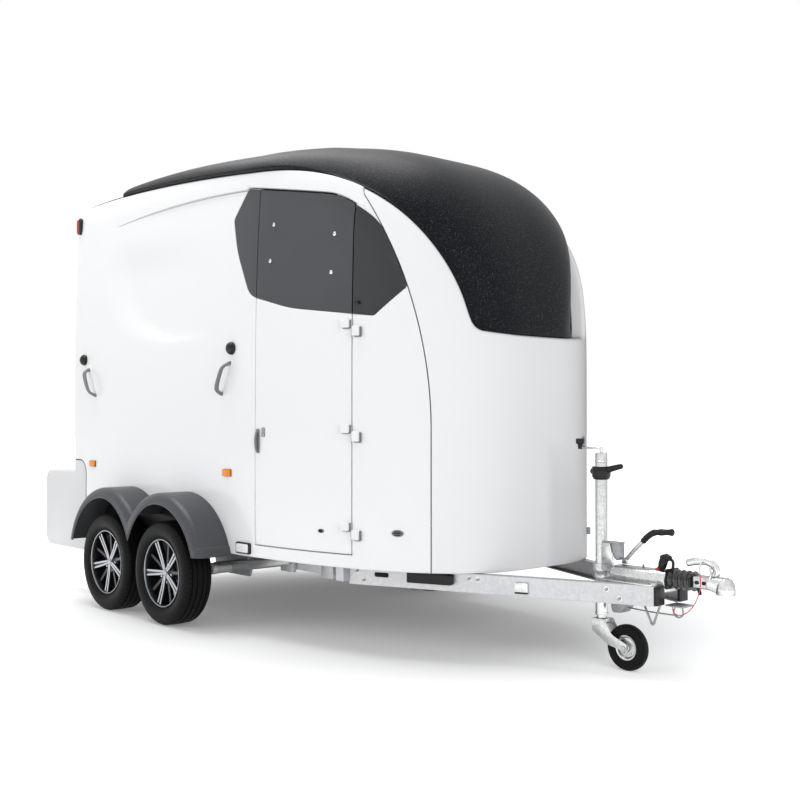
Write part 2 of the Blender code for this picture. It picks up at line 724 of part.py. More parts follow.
def hinge_pins(obj, fixed, x, z, name, reach):
    """A barrel along Y on a moving panel, and a pin with a lug at each end of it on the fixed frame."""
    boolean(obj, "UNION", rod(f"{name}_barrel", (x, -BARREL_HALF, z), (x, BARREL_HALF, z), BARREL, 12))
    for side in (-1, 1):
        start = side * (BARREL_HALF + GAP)
        end = side * (BARREL_HALF + PIN_LENGTH)
        boolean(fixed, "UNION", rod(f"{name}_pin_{side}", (x, start, z), (x, end, z), BARREL, 12))
        low, high = sorted((start, end))
        lug = block(f"{name}_lug_{side}", (x, low, z - BARREL / 2), (reach, high, z + BARREL / 2))
        boolean(fixed, "UNION", lug)
        low, high = sorted((side * BARREL_HALF, end + side * SHUT_GAP))
        room = block(f"{name}_room_{side}", (x - 0.1, low, z - NOTCH), (x + 0.1, high, z + NOTCH))
        boolean(obj, "DIFFERENCE", room)


def build_rear():
    portal = prism("rear_portal", rear_section(WALL + GAP * 2), REAR_X, REAR_X + PORTAL_DEPTH, "x", WHITE)
    opening = box_outline(RAMP_HALF_WIDTH - PORTAL_LAP, RAMP_SILL_Z + PORTAL_LAP, PORTAL_TOP_Z, PORTAL_CORNER)
    boolean(portal, "DIFFERENCE", prism("rear_opening", opening, REAR_X - 1, REAR_X + 1, "x"))
    shut = REAR_X - SHUT_GAP
    ramp_face = box_outline(RAMP_HALF_WIDTH, RAMP_SILL_Z, RAMP_TOP_Z)
    ramp = prism("rear_ramp", ramp_face, shut - RAMP_THICK, shut, "x", WHITE)
    flap_face = box_outline(RAMP_HALF_WIDTH, RAMP_TOP_Z + SHUT_GAP, PORTAL_TOP_Z + PORTAL_LAP, PORTAL_CORNER)
    flap = prism("rear_flap", flap_face, shut - FLAP_THICK, shut, "x", WHITE)
    inside = REAR_X + PORTAL_DEPTH / 2
    hinge_pins(ramp, portal, shut - RAMP_THICK, RAMP_SILL_Z - BARREL / 2, "ramp_hinge", inside)
    flap_z = PORTAL_TOP_Z + PORTAL_LAP + BARREL / 2
    hinge_pins(flap, portal, shut - FLAP_HINGE_DEPTH, flap_z, "flap_hinge", inside)


def build_pods():
    """Boxes behind the body's rear corners, each with a side plate forward in the wall's cut-out."""
    plate = (
        (REAR_X - POD_LAP, POD_BOTTOM_Z, 0.0),
        (POD_FRONT_X, POD_BOTTOM_Z, 0.0),
        (POD_FRONT_X, POD_SIDE_TOP_Z, POD_ROUND),
        (REAR_X - POD_LAP, POD_SIDE_TOP_Z, 0.0),
    )
    tail = (
        (POD_REAR_X, POD_BOTTOM_Z, POD_TAIL_ROUND),
        (REAR_X + GAP, POD_BOTTOM_Z, 0.0),
        (REAR_X + GAP, POD_TOP_Z, 0.0),
        (POD_REAR_X, POD_TOP_Z, POD_TAIL_ROUND),
    )
    for side, name in ((-1, "right"), (1, "left")):
        outer = HALF_WIDTH * side
        inner = POD_INNER_Y * side
        behind_portal = [(min(x, REAR_X - GAP), z) for x, z in rounded(tail)]
        pod = prism(f"light_pod_{name}", behind_portal, *sorted((inner, outer)), "y", WHITE)
        low, high = sorted(((HALF_WIDTH - WALL) * side, outer))
        boolean(pod, "UNION", prism(f"pod_side_{name}", rounded(plate), low, high))
        near, far = sorted(((POD_INNER_Y + LAMP_MARGIN) * side, (HALF_WIDTH - LAMP_MARGIN) * side))
        lens_low = (POD_REAR_X - LAMP_PROUD, near, LAMP_Z[0])
        lens_high = (POD_REAR_X - GAP, far, LAMP_Z[1])
        block(f"tail_lamp_{name}", lens_low, lens_high, RED_LENS)


def build_door_hinges():
    """Three hinges on the door's front edge: a barrel on the door between two pins on the wall."""
    door = bpy.data.objects["entry_door"]
    side_wall = bpy.data.objects["side_wall_right"]
    x = DOOR_HINGE_X
    y = flank_y(x, LEAN_FROM_Z) - HINGE_STAND_OFF
    for k, z in enumerate(DOOR_HINGE_Z):
        half = HINGE_BARREL / 2
        boolean(door, "UNION", rod(f"door_barrel_{k}", (x, y, z - half), (x, y, z + half), BARREL, 12))
        low, high = z - half + HINGE_TRIM, z + half - HINGE_TRIM
        leaf = block(f"door_leaf_{k}", (x - HINGE_LEAF, y, low), (x - DOOR_GAP / 2, y + HINGE_SINK, high))
        tie = block(f"door_leaf_tie_{k}", (x - HINGE_LEAF, y - BARREL / 2, low), (x, y + BARREL / 2, high))
        boolean(leaf, "UNION", tie)
        boolean(door, "UNION", leaf)
        for end in (-1, 1):
            low, high = sorted((z + end * (half + GAP), z + end * (half + HINGE_PIN)))
            boolean(side_wall, "UNION", rod(f"door_pin_{k}_{end}", (x, y, low), (x, y, high), BARREL, 12))
            lug = block(f"door_lug_{k}_{end}", (x + DOOR_GAP, y, low), (x + HINGE_LEAF, y + HINGE_SINK, high))
            tie_low, tie_high = (x, y - BARREL / 2, low), (x + HINGE_LEAF, y + BARREL / 2, high)
            tie = block(f"door_tie_{k}_{end}", tie_low, tie_high)
            boolean(side_wall, "UNION", lug)
            boolean(side_wall, "UNION", tie)


def rim_arm(name, centre, side, angle, ends, depth):
    """A bar of a rim from hub to lip; ends holds (share of the reach, half-width, face offset) twice."""
    x, y, z = centre
    inner, outer = HUB_RADIUS * 0.6, TYRE_SEAT_RADIUS - RIM_WALL / 2
    along = np.array((math.cos(angle), math.sin(angle)))
    across = np.array((-along[1], along[0]))
    points = []
    for share, half, face in ends:
        middle = np.array((x, z)) + along * (inner + (outer - inner) * share)
        for offset, width in ((face, -half), (face, half), (face - depth, half), (face - depth, -half)):
            place = middle + across * width
            points.append((place[0], y + side * offset, place[1]))
    faces = [(0, 1, 2, 3), (7, 6, 5, 4)]
    faces += [(i, (i + 1) % 4, (i + 1) % 4 + 4, i + 4) for i in range(4)]
    return new_object(name, points, faces)


def build_rim(tag, end, centre, side):
    """A rim: flanged barrel, five wide grooved arms, five slim arms set back between, hub and brake drum."""
    x, y, z = centre
    half = (
        (TYRE_SEAT_RADIUS - RIM_WALL, RIM_HALF_WIDTH),
        (RIM_RADIUS, RIM_HALF_WIDTH),
        (RIM_RADIUS, RIM_HALF_WIDTH - RIM_LIP),
        (TYRE_SEAT_RADIUS, RIM_HALF_WIDTH - RIM_LIP),
    )
    profile = [(r, -w) for r, w in half] + [(r, w) for r, w in half[::-1]]
    rim = turned(f"rim_{tag}", profile, centre, "y", WHEEL_SIDES, ALLOY)
    drum_back = y - side * (RIM_HALF_WIDTH - DRUM_INSET)
    for k in range(ARM_COUNT):
        angle = ARM_TURN[end] + k * 2 * math.pi / ARM_COUNT
        between = angle + math.pi / ARM_COUNT
        wide = rim_arm(f"wide_arm_{tag}_{k}", centre, side, angle, WIDE_ARM, ARM_DEPTH)
        slim = rim_arm(f"slim_arm_{tag}_{k}", centre, side, between, SLIM_ARM, ARM_DEPTH)
        groove = rim_arm(f"groove_{tag}_{k}", centre, side, angle, ARM_GROOVE, GROOVE_DEPTH)
        boolean(rim, "UNION", wide)
        boolean(rim, "UNION", slim)
        boolean(rim, "DIFFERENCE", groove)
    hub_start = (x, drum_back + side * DRUM_DEPTH / 2, z)
    hub_end = (x, y + side * (WIDE_ARM[0][2] - 0.002), z)
    boolean(rim, "UNION", rod(f"hub_{tag}", hub_start, hub_end, HUB_RADIUS, 16))
    drum_end = (x, drum_back + side * DRUM_DEPTH, z)
    boolean(rim, "UNION", rod(f"drum_{tag}", (x, drum_back, z), drum_end, DRUM_RADIUS, 20))
    bore_start = (x, drum_back - side * DRUM_INSET, z)
    bore_end = (x, drum_back + side * (SPINDLE_REACH + BEARING_GAP), z)
    bore = rod(f"bearing_{tag}", bore_start, bore_end, SPINDLE_RADIUS + BEARING_GAP, 16)
    boolean(rim, "DIFFERENCE", bore)
    return drum_back


def build_swing_arm(tag, centre, side, spindle_end):
    """A trailing arm from the axle beam's end back to the wheel's spindle."""
    x, z = centre[0], centre[2]
    beam_x, beam_z = x + ARM_LENGTH, RAIL_BOTTOM_Z - GAP - BEAM_RADIUS
    low, high = sorted((side * (BEAM_HALF_LENGTH + GAP), side * (BEAM_HALF_LENGTH + GAP + ARM_THICK)))
    half = ARM_HALF_HEIGHT
    outline = rounded(
        (
            (x - half, z - half, ARM_ROUND),
            (beam_x + half, beam_z - half, ARM_ROUND),
            (beam_x + half, beam_z + half, ARM_ROUND),
            (x - half, z + half, ARM_ROUND),
        ),
        3,
    )
    arm = prism(f"swing_arm_{tag}", outline, low, high, "y", GALVANISED)
    start = (x, side * (BEAM_HALF_LENGTH + ARM_THICK / 2), z)
    boolean(arm, "UNION", rod(f"spindle_{tag}", start, (x, spindle_end, z), SPINDLE_RADIUS, 16))


def build_wheels():
    half = TYRE_WIDTH / 2
    lip_inside = RIM_HALF_WIDTH - RIM_LIP - GAP
    tyre_half = (
        (TYRE_SEAT_RADIUS + GAP, lip_inside),
        (RIM_RADIUS + 0.002, lip_inside),
        (0.225, half - 0.004),
        (0.255, half),
        (TYRE_RADIUS - 0.016, half - 0.008),
        (TYRE_RADIUS, half - 0.030),
    )
    tyre_profile = [(r, -w) for r, w in tyre_half] + [(r, w) for r, w in tyre_half[::-1]]
    for end, x in (("rear", 0.0), ("front", AXLE_SPACING)):
        for name, side in (("right", -1), ("left", 1)):
            tag = f"{end}_{name}"
            centre = (x, WHEEL_MIDDLE_Y * side, TYRE_RADIUS)
            turned(f"tyre_{tag}", tyre_profile, centre, "y", WHEEL_SIDES, TYRE_BLACK)
            drum_back = build_rim(tag, end, centre, side)
            build_swing_arm(tag, centre, side, drum_back + side * SPINDLE_REACH)
        beam_x, beam_z = x + ARM_LENGTH, RAIL_BOTTOM_Z - GAP - BEAM_RADIUS
        start, stop = (beam_x, -BEAM_HALF_LENGTH, beam_z), (beam_x, BEAM_HALF_LENGTH, beam_z)
        rod(f"axle_beam_{end}", start, stop, BEAM_RADIUS, 20, GALVANISED)


def guard_grid(inset, columns=11):
    """A double arch over both wheels: a (radius, y) section swept round each wheel centre, mitred between."""
    corner = np.linspace(0, math.pi / 2, 4)
    edge_y = GUARD_OUTER_Y - inset
    top = GUARD_RADIUS - inset
    bend = GUARD_ROUND - inset
    section = [(top, HALF_WIDTH + GAP)]
    section += [(top - bend + bend * math.cos(a), edge_y - bend + bend * math.sin(a)) for a in corner]
    section += [(GUARD_LIP_RADIUS, edge_y)]
    radius, y = np.array(section).T
    valley = np.arccos(AXLE_SPACING / 2 / radius)
    shares = np.linspace(0, 1, columns)[:, None]
    rear_end = math.pi - np.arcsin((GUARD_REAR_Z - TYRE_RADIUS) / radius)
    front_end = np.arcsin((GUARD_FRONT_Z - TYRE_RADIUS) / radius)
    rear = rear_end + shares * (valley - rear_end)
    front = (math.pi - valley) + shares * (front_end - math.pi + valley)
    grids = []
    for centre, angle in ((0.0, rear), (AXLE_SPACING, front)):
        x, z = centre + radius * np.cos(angle), TYRE_RADIUS + radius * np.sin(angle)
        grids.append(np.stack([x, -y + 0 * angle, z], -1))
    return np.concatenate([grids[0], grids[1][1:]])


def build_guards():
    for name, mirror in (("right", False), ("left", True)):
        shell(f"mudguard_{name}", guard_grid(0.0), guard_grid(GUARD_WALL), PLASTIC, mirror)


def build_chassis():
    top = SKIRT_Z - GAP
    for name, side in (("right", -1), ("left", 1)):
        low, high = sorted(((RAIL_Y - RAIL_WIDTH / 2) * side, (RAIL_Y + RAIL_WIDTH / 2) * side))
        start, stop = CROSS_REAR_X[1] + GAP, CROSS_FRONT_X[0] - GAP
        block(f"chassis_rail_{name}", (start, low, RAIL_BOTTOM_Z), (stop, high, top), GALVANISED)
        rear_x = CROSS_FRONT_X[1] + GAP
        half = BEAM_HALF_WIDTH
        ends = ((rear_x, BEAM_REAR_Y * side), (BEAM_FRONT_X, BEAM_FRONT_Y * side))
        outline = [(x, y - half) for x, y in ends] + [(x, y + half) for x, y in ends[::-1]]
        beam = prism(f"drawbar_beam_{name}", outline, BEAM_BOTTOM_Z, BEAM_TOP_Z, "z", GALVANISED)
        slope = (ends[1][1] - ends[0][1]) / (ends[1][0] - ends[0][0])
        past = BEAM_HALF_WIDTH * 4
        wide = ((rear_x - past, ends[0][1] - past * slope), (BEAM_FRONT_X + past, ends[1][1] + past * slope))
        keep = (half - BEAM_WALL) * side
        open_side = -2 * half * side
        channel = [(x, y + keep) for x, y in wide] + [(x, y + open_side) for x, y in wide[::-1]]
        cut = prism(f"channel_{name}", channel, BEAM_BOTTOM_Z + BEAM_WALL, BEAM_TOP_Z - BEAM_WALL, "z")
        boolean(beam, "DIFFERENCE", cut)
    for name, (start, stop) in (("rear", CROSS_REAR_X), ("front", CROSS_FRONT_X)):
        low, high = (start, -CROSS_REACH, RAIL_BOTTOM_Z), (stop, CROSS_REACH, top)
        block(f"cross_member_{name}", low, high, GALVANISED)
    station = skirt_to_edge(side_stations, WALL_ROWS, 0.0)[0][:, 0]
    front = skirt_to_edge(nose_stations, WALL_ROWS, 0.0)[0][:, 0]
    inside_portal = np.maximum(station, REAR_X + PORTAL_DEPTH + GAP)
    right = skin(inside_portal, SKIRT_Z, WALL + GAP * 2)
    over = skin(front[1:-1], SKIRT_Z, WALL + GAP * 2)
    left = right[::-1] * np.array([1, -1, 1])
    outline = [(p[0], p[1]) for p in np.concatenate([right, over, left])]
    prism("floor", outline, SKIRT_Z, SKIRT_Z + FLOOR_THICK, "z", WOOD_DECK)


def build_coupling():
    half = HOUSING_HALF_WIDTH
    housing_low, housing_high = (HOUSING_X[0], -half, HOUSING_Z[0]), (HOUSING_X[1], half, HOUSING_Z[1])
    housing = block("overrun_housing", housing_low, housing_high, GALVANISED)
    plate_z = BEAM_TOP_Z + GAP
    plate_low = (HOUSING_X[0], -PLATE_HALF_WIDTH, plate_z)
    plate_high = (BEAM_FRONT_X, PLATE_HALF_WIDTH, plate_z + PLATE_THICK)
    boolean(housing, "UNION", block("bracket_plate", plate_low, plate_high))
    clamp_low = (JOCKEY_X - CLAMP_HALF, -CLAMP_HALF, CLAMP_Z[0])
    clamp_high = (HOUSING_X[0] + 0.01, CLAMP_HALF, CLAMP_Z[1] - 0.004)
    boolean(housing, "UNION", block("jockey_clamp", clamp_low, clamp_high))
    hole_low, hole_high = (JOCKEY_X, 0, CLAMP_Z[0] - CLAMP_HALF), (JOCKEY_X, 0, CLAMP_Z[1] + CLAMP_HALF)
    boolean(housing, "DIFFERENCE", rod("clamp_bore", hole_low, hole_high, JOCKEY_TUBE + GAP * 2, 20))
    gusset = rounded([(JOCKEY_X + ahead, z, radius) for ahead, z, radius in GUSSET_OUTLINE], 3)
    boolean(housing, "UNION", prism("clamp_gusset", gusset, *GUSSET_Y))

    folds = []
    count = 2 * BELLOWS_FOLDS
    for k in range(count + 1):
        x = BELLOWS_X[0] + (BELLOWS_X[1] - BELLOWS_X[0]) * k / count
        folds.append((BELLOWS_RADII[k % 2], x))
    folds += [(DRAW_TUBE + GAP * 2, BELLOWS_X[1]), (DRAW_TUBE + GAP * 2, BELLOWS_X[0])]
    turned("bellows", folds, (0, 0, COUPLING_Z), "x", 16, PLASTIC)
    outline = rounded([(x, COUPLING_Z + rise, radius) for x, rise, radius in HEAD_OUTLINE], 3)
    head = prism("coupling_head", outline, -HEAD_HALF_WIDTH, HEAD_HALF_WIDTH, "y", GALVANISED)
    tube_end = (BELLOWS_X[1] + HEAD_HALF_WIDTH, 0, COUPLING_Z)
    tube = rod("draw_tube", (HOUSING_X[1] + GAP, 0, COUPLING_Z), tube_end, DRAW_TUBE, 20)
    boolean(head, "UNION", tube)
    socket_low = (BALL_X, 0, COUPLING_Z - 4 * BALL_RADIUS)
    socket_high = (BALL_X, 0, COUPLING_Z + BALL_RADIUS / 5)
    boolean(head, "DIFFERENCE", rod("ball_socket", socket_low, socket_high, BALL_RADIUS, 20))
    outline = rounded([(x, COUPLING_Z + rise, radius) for x, rise, radius in HANDLE_OUTLINE], 3)
    boolean(head, "UNION", prism("coupling_handle", outline, -HANDLE_HALF_WIDTH, HANDLE_HALF_WIDTH))
    lever_y = HOUSING_HALF_WIDTH - LEVER_INSET
    top = HOUSING_Z[1]
    route = [(x, lever_y, top + rise) for x, rise in LEVER_ROUTE]
    lever = bent_bar("handbrake_lever", route, LEVER_RADIUS, 12, GALVANISED)
    x, rise = LEVER_ROUTE[0]
    foot_low = (x - 0.012, lever_y - 0.008, top + GAP)
    foot_high = (x + 0.015, lever_y + 0.008, top + 2 * rise)
    boolean(lever, "UNION", block("lever_foot", foot_low, foot_high))


def build_jockey():
    tube_low, tube_high = (JOCKEY_X, 0, JOCKEY_TUBE_BOTTOM_Z), (JOCKEY_X, 0, JOCKEY_TOP_Z)
    tube = rod("jockey_tube", tube_low, tube_high, JOCKEY_TUBE, 20, GALVANISED)
    grip = rod("clamp_grip", (GRIP_X[0], 0, GRIP_Z - 0.006), (GRIP_X[1], 0, GRIP_Z + 0.014), GRIP_RADIUS, 12)
    boolean(tube, "UNION", grip)
    knob_x = JOCKEY_X - CRANK_REACH
    stem_low, stem_high = (JOCKEY_X, 0, JOCKEY_TOP_Z - 0.01), (JOCKEY_X, 0, CRANK_Z + CRANK_RADIUS)
    knob_low, knob_high = (knob_x, 0, CRANK_Z - CRANK_RADIUS), (knob_x, 0, CRANK_Z + CRANK_KNOB[1])
    boolean(tube, "UNION", rod("crank_stem", stem_low, stem_high, CRANK_RADIUS * 1.2, 10))
    boolean(tube, "UNION", rod("crank_arm", (knob_x, 0, CRANK_Z), (JOCKEY_X, 0, CRANK_Z), CRANK_RADIUS, 10))
    boolean(tube, "UNION", rod("crank_knob", knob_low, knob_high, CRANK_KNOB[0], 14))
    top = JOCKEY_TUBE_BOTTOM_Z - GAP
    leg = rod("jockey_leg", (JOCKEY_X, 0, top - 0.035), (JOCKEY_X, 0, top), JOCKEY_LEG, 20, GALVANISED)
    wheel_x, wheel_z = JOCKEY_X + JOCKEY_TRAIL, JOCKEY_WHEEL_RADIUS
    inner = JOCKEY_WHEEL_HALF + FORK_GAP
    outer = inner + FORK_WALL
    yoke = block("yoke", (JOCKEY_X - 0.035, -outer, top - 0.040), (JOCKEY_X + 0.035, outer, top - 0.012))
    boolean(leg, "UNION", yoke)
    cheek = rounded([(JOCKEY_X + ahead, top - drop, radius) for ahead, drop, radius in CHEEK_OUTLINE], 3)
    for side in (-1, 1):
        boolean(leg, "UNION", prism(f"cheek_{side}", cheek, *sorted((side * inner, side * outer))))
    reach = outer - 0.001
    axle = rod("jockey_axle", (wheel_x, -reach, wheel_z), (wheel_x, reach, wheel_z), 0.008, 12)
    boolean(leg, "UNION", axle)
    half = JOCKEY_WHEEL_HALF
    profile = (
        (0.0086, -0.022),
        (0.030, -0.022),
        (0.032, -0.012),
        (0.070, -0.012),
        (0.074, -half),
        (0.095, -half),
        (JOCKEY_WHEEL_RADIUS, -half + 0.012),
    )
    profile = list(profile) + [(r, -w) for r, w in profile[::-1]]
    turned("jockey_wheel", profile, (wheel_x, 0, wheel_z), "y", 24, TYRE_BLACK)


def grab_route(places):
    """A bowed route over three (x, z) places of the flank: both ends stand square on the wall."""
    (ax, az), (bx, bz), (cx, cz) = places
    steps = (
        (ax, az, GAP),
        (ax, az, GRAB_REACH * 0.45),
        ((ax + bx) / 2, (az + bz) / 2, GRAB_REACH * 0.92),
        (bx, bz, GRAB_REACH),
        ((bx + cx) / 2, (bz + cz) / 2, GRAB_REACH * 0.92),
        (cx, cz, GRAB_REACH * 0.45),
        (cx, cz, GAP),
    )
    return [(x, flank_y(x, z) - out - GAP, z) for x, z, out in steps]


def build_fittings():
    """Grab handles and buffer knobs on the right wall, the door's handle, and the high rear lamps."""
    for name, places in GRAB_HANDLES.items():
        bent_bar(f"grab_handle_{name}", grab_route(places), GRAB_RADIUS, 8, PLASTIC)
    radius, height = KNOB_RADIUS, KNOB_HEIGHT
    dome = ((0.0, 0.0), (radius, 0.0), (radius, 0.25 * height), (0.8 * radius, 0.75 * height), (0.0, height))
    for name, (x, z) in KNOBS.items():
        profile = [(r, -up) for r, up in dome]
        turned(f"buffer_knob_{name}", profile, (x, -HALF_WIDTH - GAP, z), "y", 20, PLASTIC)
    low, high = DOOR_HANDLE_Z
    wall_y = flank_y(DOOR_HANDLE_X, low) - 2 * GAP
    out_y = wall_y - DOOR_HANDLE_REACH
    steps = ((wall_y, low), (out_y, low + 0.012), (out_y, high - 0.012), (wall_y, high))
    route = [(DOOR_HANDLE_X, y, z) for y, z in steps]
    route.insert(1, (DOOR_HANDLE_X, (wall_y + out_y) / 2, low))
    route.insert(4, (DOOR_HANDLE_X, (wall_y + out_y) / 2, high))
    bent_bar("door_handle", route, DOOR_HANDLE_RADIUS, 8, PLASTIC)
    for name, side in (("right", -1), ("left", 1)):
        near, far = sorted((side * HIGH_LAMP_Y[0], side * HIGH_LAMP_Y[1]))
        low, high = HIGH_LAMP_Z
        outline = rounded(((near, low, 0.008), (far, low, 0.008), (far, high, 0.008), (near, high, 0.008)), 2)
        prism(f"high_lamp_{name}", outline, REAR_X - GAP - HIGH_LAMP_DEPTH, REAR_X - GAP, "x", RED_LENS)


def main():
    for obj in list(bpy.data.objects):
        bpy.data.objects.remove(obj)
    build_sides()
    build_ends()
    build_rear()
    build_pods()
    build_door_hinges()
    build_wheels()
    build_guards()
    build_chassis()
    build_coupling()
    build_jockey()
    build_fittings()
    for obj in bpy.data.objects:
        if obj.parent is None:
            obj.location.x -= OVERALL_MIDDLE


main()
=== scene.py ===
"""Dresses the packed horse trailer: skins, panes, wheels, coupling, fittings, finishes and stage.

Shapes are worked out in the trailer's own stations, with x = 0 at the rear axle and the right side at -Y,
and `piece` moves them into the part's frame.
"""

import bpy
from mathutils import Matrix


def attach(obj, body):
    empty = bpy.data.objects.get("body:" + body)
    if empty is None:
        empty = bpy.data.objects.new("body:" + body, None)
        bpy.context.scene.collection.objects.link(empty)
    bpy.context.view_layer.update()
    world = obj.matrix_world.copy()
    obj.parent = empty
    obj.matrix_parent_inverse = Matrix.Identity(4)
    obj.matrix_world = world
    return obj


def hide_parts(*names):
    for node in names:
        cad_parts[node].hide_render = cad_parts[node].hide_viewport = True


bl_info = {
    "name": "Horse trailer dressing",
    "version": (1, 0, 0),
    "blender": (4, 5, 0),
    "location": "3D View > Sidebar > Horse trailer",
    "description": "Builds the visible pieces of a two-horse trailer around its packed frame",
    "category": "Object",
}

import math

import bmesh
import bpy
import numpy as np
from bpy.props import FloatProperty, FloatVectorProperty, IntProperty, PointerProperty
from mathutils.geometry import delaunay_2d_cdt

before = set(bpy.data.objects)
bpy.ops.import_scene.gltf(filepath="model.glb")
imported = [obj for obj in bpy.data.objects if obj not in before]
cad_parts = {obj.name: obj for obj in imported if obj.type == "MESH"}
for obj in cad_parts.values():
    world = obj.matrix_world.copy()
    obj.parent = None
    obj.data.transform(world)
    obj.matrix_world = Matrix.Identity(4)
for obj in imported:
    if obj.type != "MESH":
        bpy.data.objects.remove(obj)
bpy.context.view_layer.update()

# The part's frame has x = 0 in the middle of the overall length.
SHIFT = 1.2425
WELD = 2e-5
AXES_STEP = 0.004

# Body skin, the same formula as the part's walls
HALF_WIDTH = 0.88
REAR_X = -0.81
NOSE_START_X = 1.18
NOSE_LENGTH = 1.49
NOSE_POWER = 3.26
SKIRT_Z = 0.44
SHOULDER_SIDE_Z = 2.462
SHOULDER_NOSE_Z = 1.265
ROOF_POWER_SIDE = 3.6
ROOF_POWER_NOSE = 2.98
CROWN_Z = 2.733
CROWN_SLOPE = -0.149
CROWN_CURVE = -0.073
EASE_LENGTH = 0.30
EASE_RAISE = -CROWN_SLOPE / 2 * EASE_LENGTH
LEAN = 0.03
LEAN_FROM_Z = 1.5
LEAN_HEIGHT = 1.0
LEAN_POWER = 1.6
WALL = 0.030
RAIL_REAR_Z = 2.663
RAIL_DROP = 0.088
RAIL_DROP_POWER = 2.2
FRONT_PANEL_Z = 1.625
FRONT_PANEL_ANGLE = math.radians(71.0)
FRONT_PANEL_ROUND = 1.6
PANEL_CORNER = 0.07
CORNER_ANGLE = math.radians(70.45)
CORNER_ARM = 0.925
PANEL_SAG = 0.024
EDGE_FALL = 0.097
SEAM_ANGLE = math.radians(58.3)
SEAM_TOP_ANGLE = math.radians(38.5)
SEAM_STRAIGHT_Z = 1.15
SEAM_TOP_Z = 2.35
SEAM_POWER = 2.0
ROOF_REAR_X = -0.26
HALF_GAP = 0.0006
RAIL_HALF_GAP = 0.0013
SEAM_HALF_GAP = 0.0022

# Shallow relief of the side: the crease under the rail with its groove, and the swoosh between two arcs,
# each with its half length and its power
CREASE_TOP_Z = 2.500
CREASE_OVER_WINDOWS = 0.012
STEP_HEIGHT = 0.004
STEP_FADE = 0.30
GROOVE_DEPTH = 0.011
GROOVE_BELOW = 0.0045
SWOOSH_MIDDLE_X = 0.75
SWOOSH_TOP_Z = 2.35
SWOOSH_DROP = 0.672
SWOOSH_OUTER = (1.17, 3.75)
SWOOSH_INNER = (0.86, 2.5)

# Entry door and windows
DOOR_REAR_X = 1.350
DOOR_FRONT_X = 2.050
DOOR_SILL_Z = 0.512
DOOR_GAP = 0.005
DOOR_HINGE_Z = (0.635, 1.131, 1.666)
GLASS = 0.005
SIGHT_STILE = 0.040
SIGHT_BORDER = 0.055
WINDOW_GAP = 0.0012
PANE_GRID = 0.030
PANE_ROLL = 0.0022
FRAME_GRID = 0.050
FRAME_ROLL = 0.002
FRAME_BEHIND = 0.0018
FRAME_INSET = 0.0015
FRAME_DEPTH = WALL - GLASS - 0.003
WINDOW_CORNERS = (
    (1.152, 2.140, 0.600),
    (1.285, 1.880, 0.130),
    (1.630, 1.789, 1.200),
    (2.175, 1.720, 0.030),
    (2.345, 1.862, 0.030),
    (2.215, 2.185, 0.420),
    (1.965, 2.355, 0.480),
    (1.235, 2.482, 0.030),
    (1.105, 2.325, 0.040),
)

# Rear end
POD_REAR_X = -1.260
POD_FRONT_X = -0.640
POD_BOTTOM_Z = 0.300
POD_TOP_Z = 0.830
POD_SIDE_TOP_Z = 0.915
POD_ROUND = 0.090
POD_TAIL_ROUND = 0.070
TAIL_LAMP_Y = -0.81
TAIL_LENSES = {"red": (0.402, 0.560), "amber": (0.565, 0.655), "clear": (0.660, 0.718)}

# Running gear
AXLES = {"rear": 0.0, "front": 0.674}
SIDES = {"right": -1, "left": 1}
TYRE_RADIUS = 0.302
WHEEL_MIDDLE_Y = 0.9875
GUARD_OUTER_Y = 1.100
GUARD_RADIUS = 0.465
GUARD_LIP_RADIUS = 0.400
GUARD_ROUND = 0.050
GUARD_WALL = 0.006
GUARD_WEB = 0.027
GUARD_REAR_Z = 0.410
GUARD_FRONT_Z = 0.428

# Stage light, in watts and as the world's strength, and the camera
WORLD_LIGHT = 0.46
LAMP_OVER = 290.0
LAMP_SIDE = 190.0
LAMP_FRONT = 190.0
CAMERA_SENSOR = 36.0
CAMERA_LENS = 50.05
CAMERA_PLACE = (5.1557, -4.3851, 1.2157)
CAMERA_TURN = (math.radians(90.81), 0.0, math.radians(47.78))

# Drawbar and jockey wheel
COUPLING_Z = 0.465
JOCKEY_X = 3.030
JOCKEY_WHEEL = (3.185, 0.0, 0.110)


def length_property(name, description, value):
    return FloatProperty(name=name, description=description, default=value, unit="LENGTH")


def angle_property(name, description, degrees):
    return FloatProperty(
        name=name, description=description, default=math.radians(degrees), subtype="ANGLE"
    )


def colour_property(name, value):
    return FloatVectorProperty(
        name=name, description=f"{name} of the trailer", subtype="COLOR", size=3, default=value
    )


class TrailerShellSizes(bpy.types.PropertyGroup):
    edge_roll: length_property("Edge roll", "Radius of the skins' edges", 0.005)
    rail_step: length_property("Rail step", "How far the wall stands back under the roof rail", 0.013)
    swoosh: length_property("Swoosh depth", "Depth of the curved relief on the side", 0.028)
    roof_lift: length_property("Roof lift", "How far the roof shell stands proud along the sides", 0.018)
    front_recess: length_property(
        "Front recess", "How far the front panel lies inside the nose's edge", 0.014
    )
    ledge_depth: length_property("Ledge depth", "Extra recess beside the front panel's side edges", 0.062)
    lip_roll: length_property("Lip roll", "Radius of the lip round the panel", 0.024)
    spacing: length_property("Spacing", "Grid spacing of the skins", 0.028)


class TrailerWheelSizes(bpy.types.PropertyGroup):
    groove_depth: length_property("Groove depth", "Depth of the tread", 0.007)
    groove_width: length_property("Groove width", "Width of a tread groove", 0.009)
    sipes: IntProperty(name="Sipes", description="Shoulder cuts round a tyre", default=64)
    turn_rear: angle_property("Rear arm angle", "Angle of a bright arm", 49.2)
    turn_front: angle_property("Front arm angle", "Angle of a bright arm", 40.7)


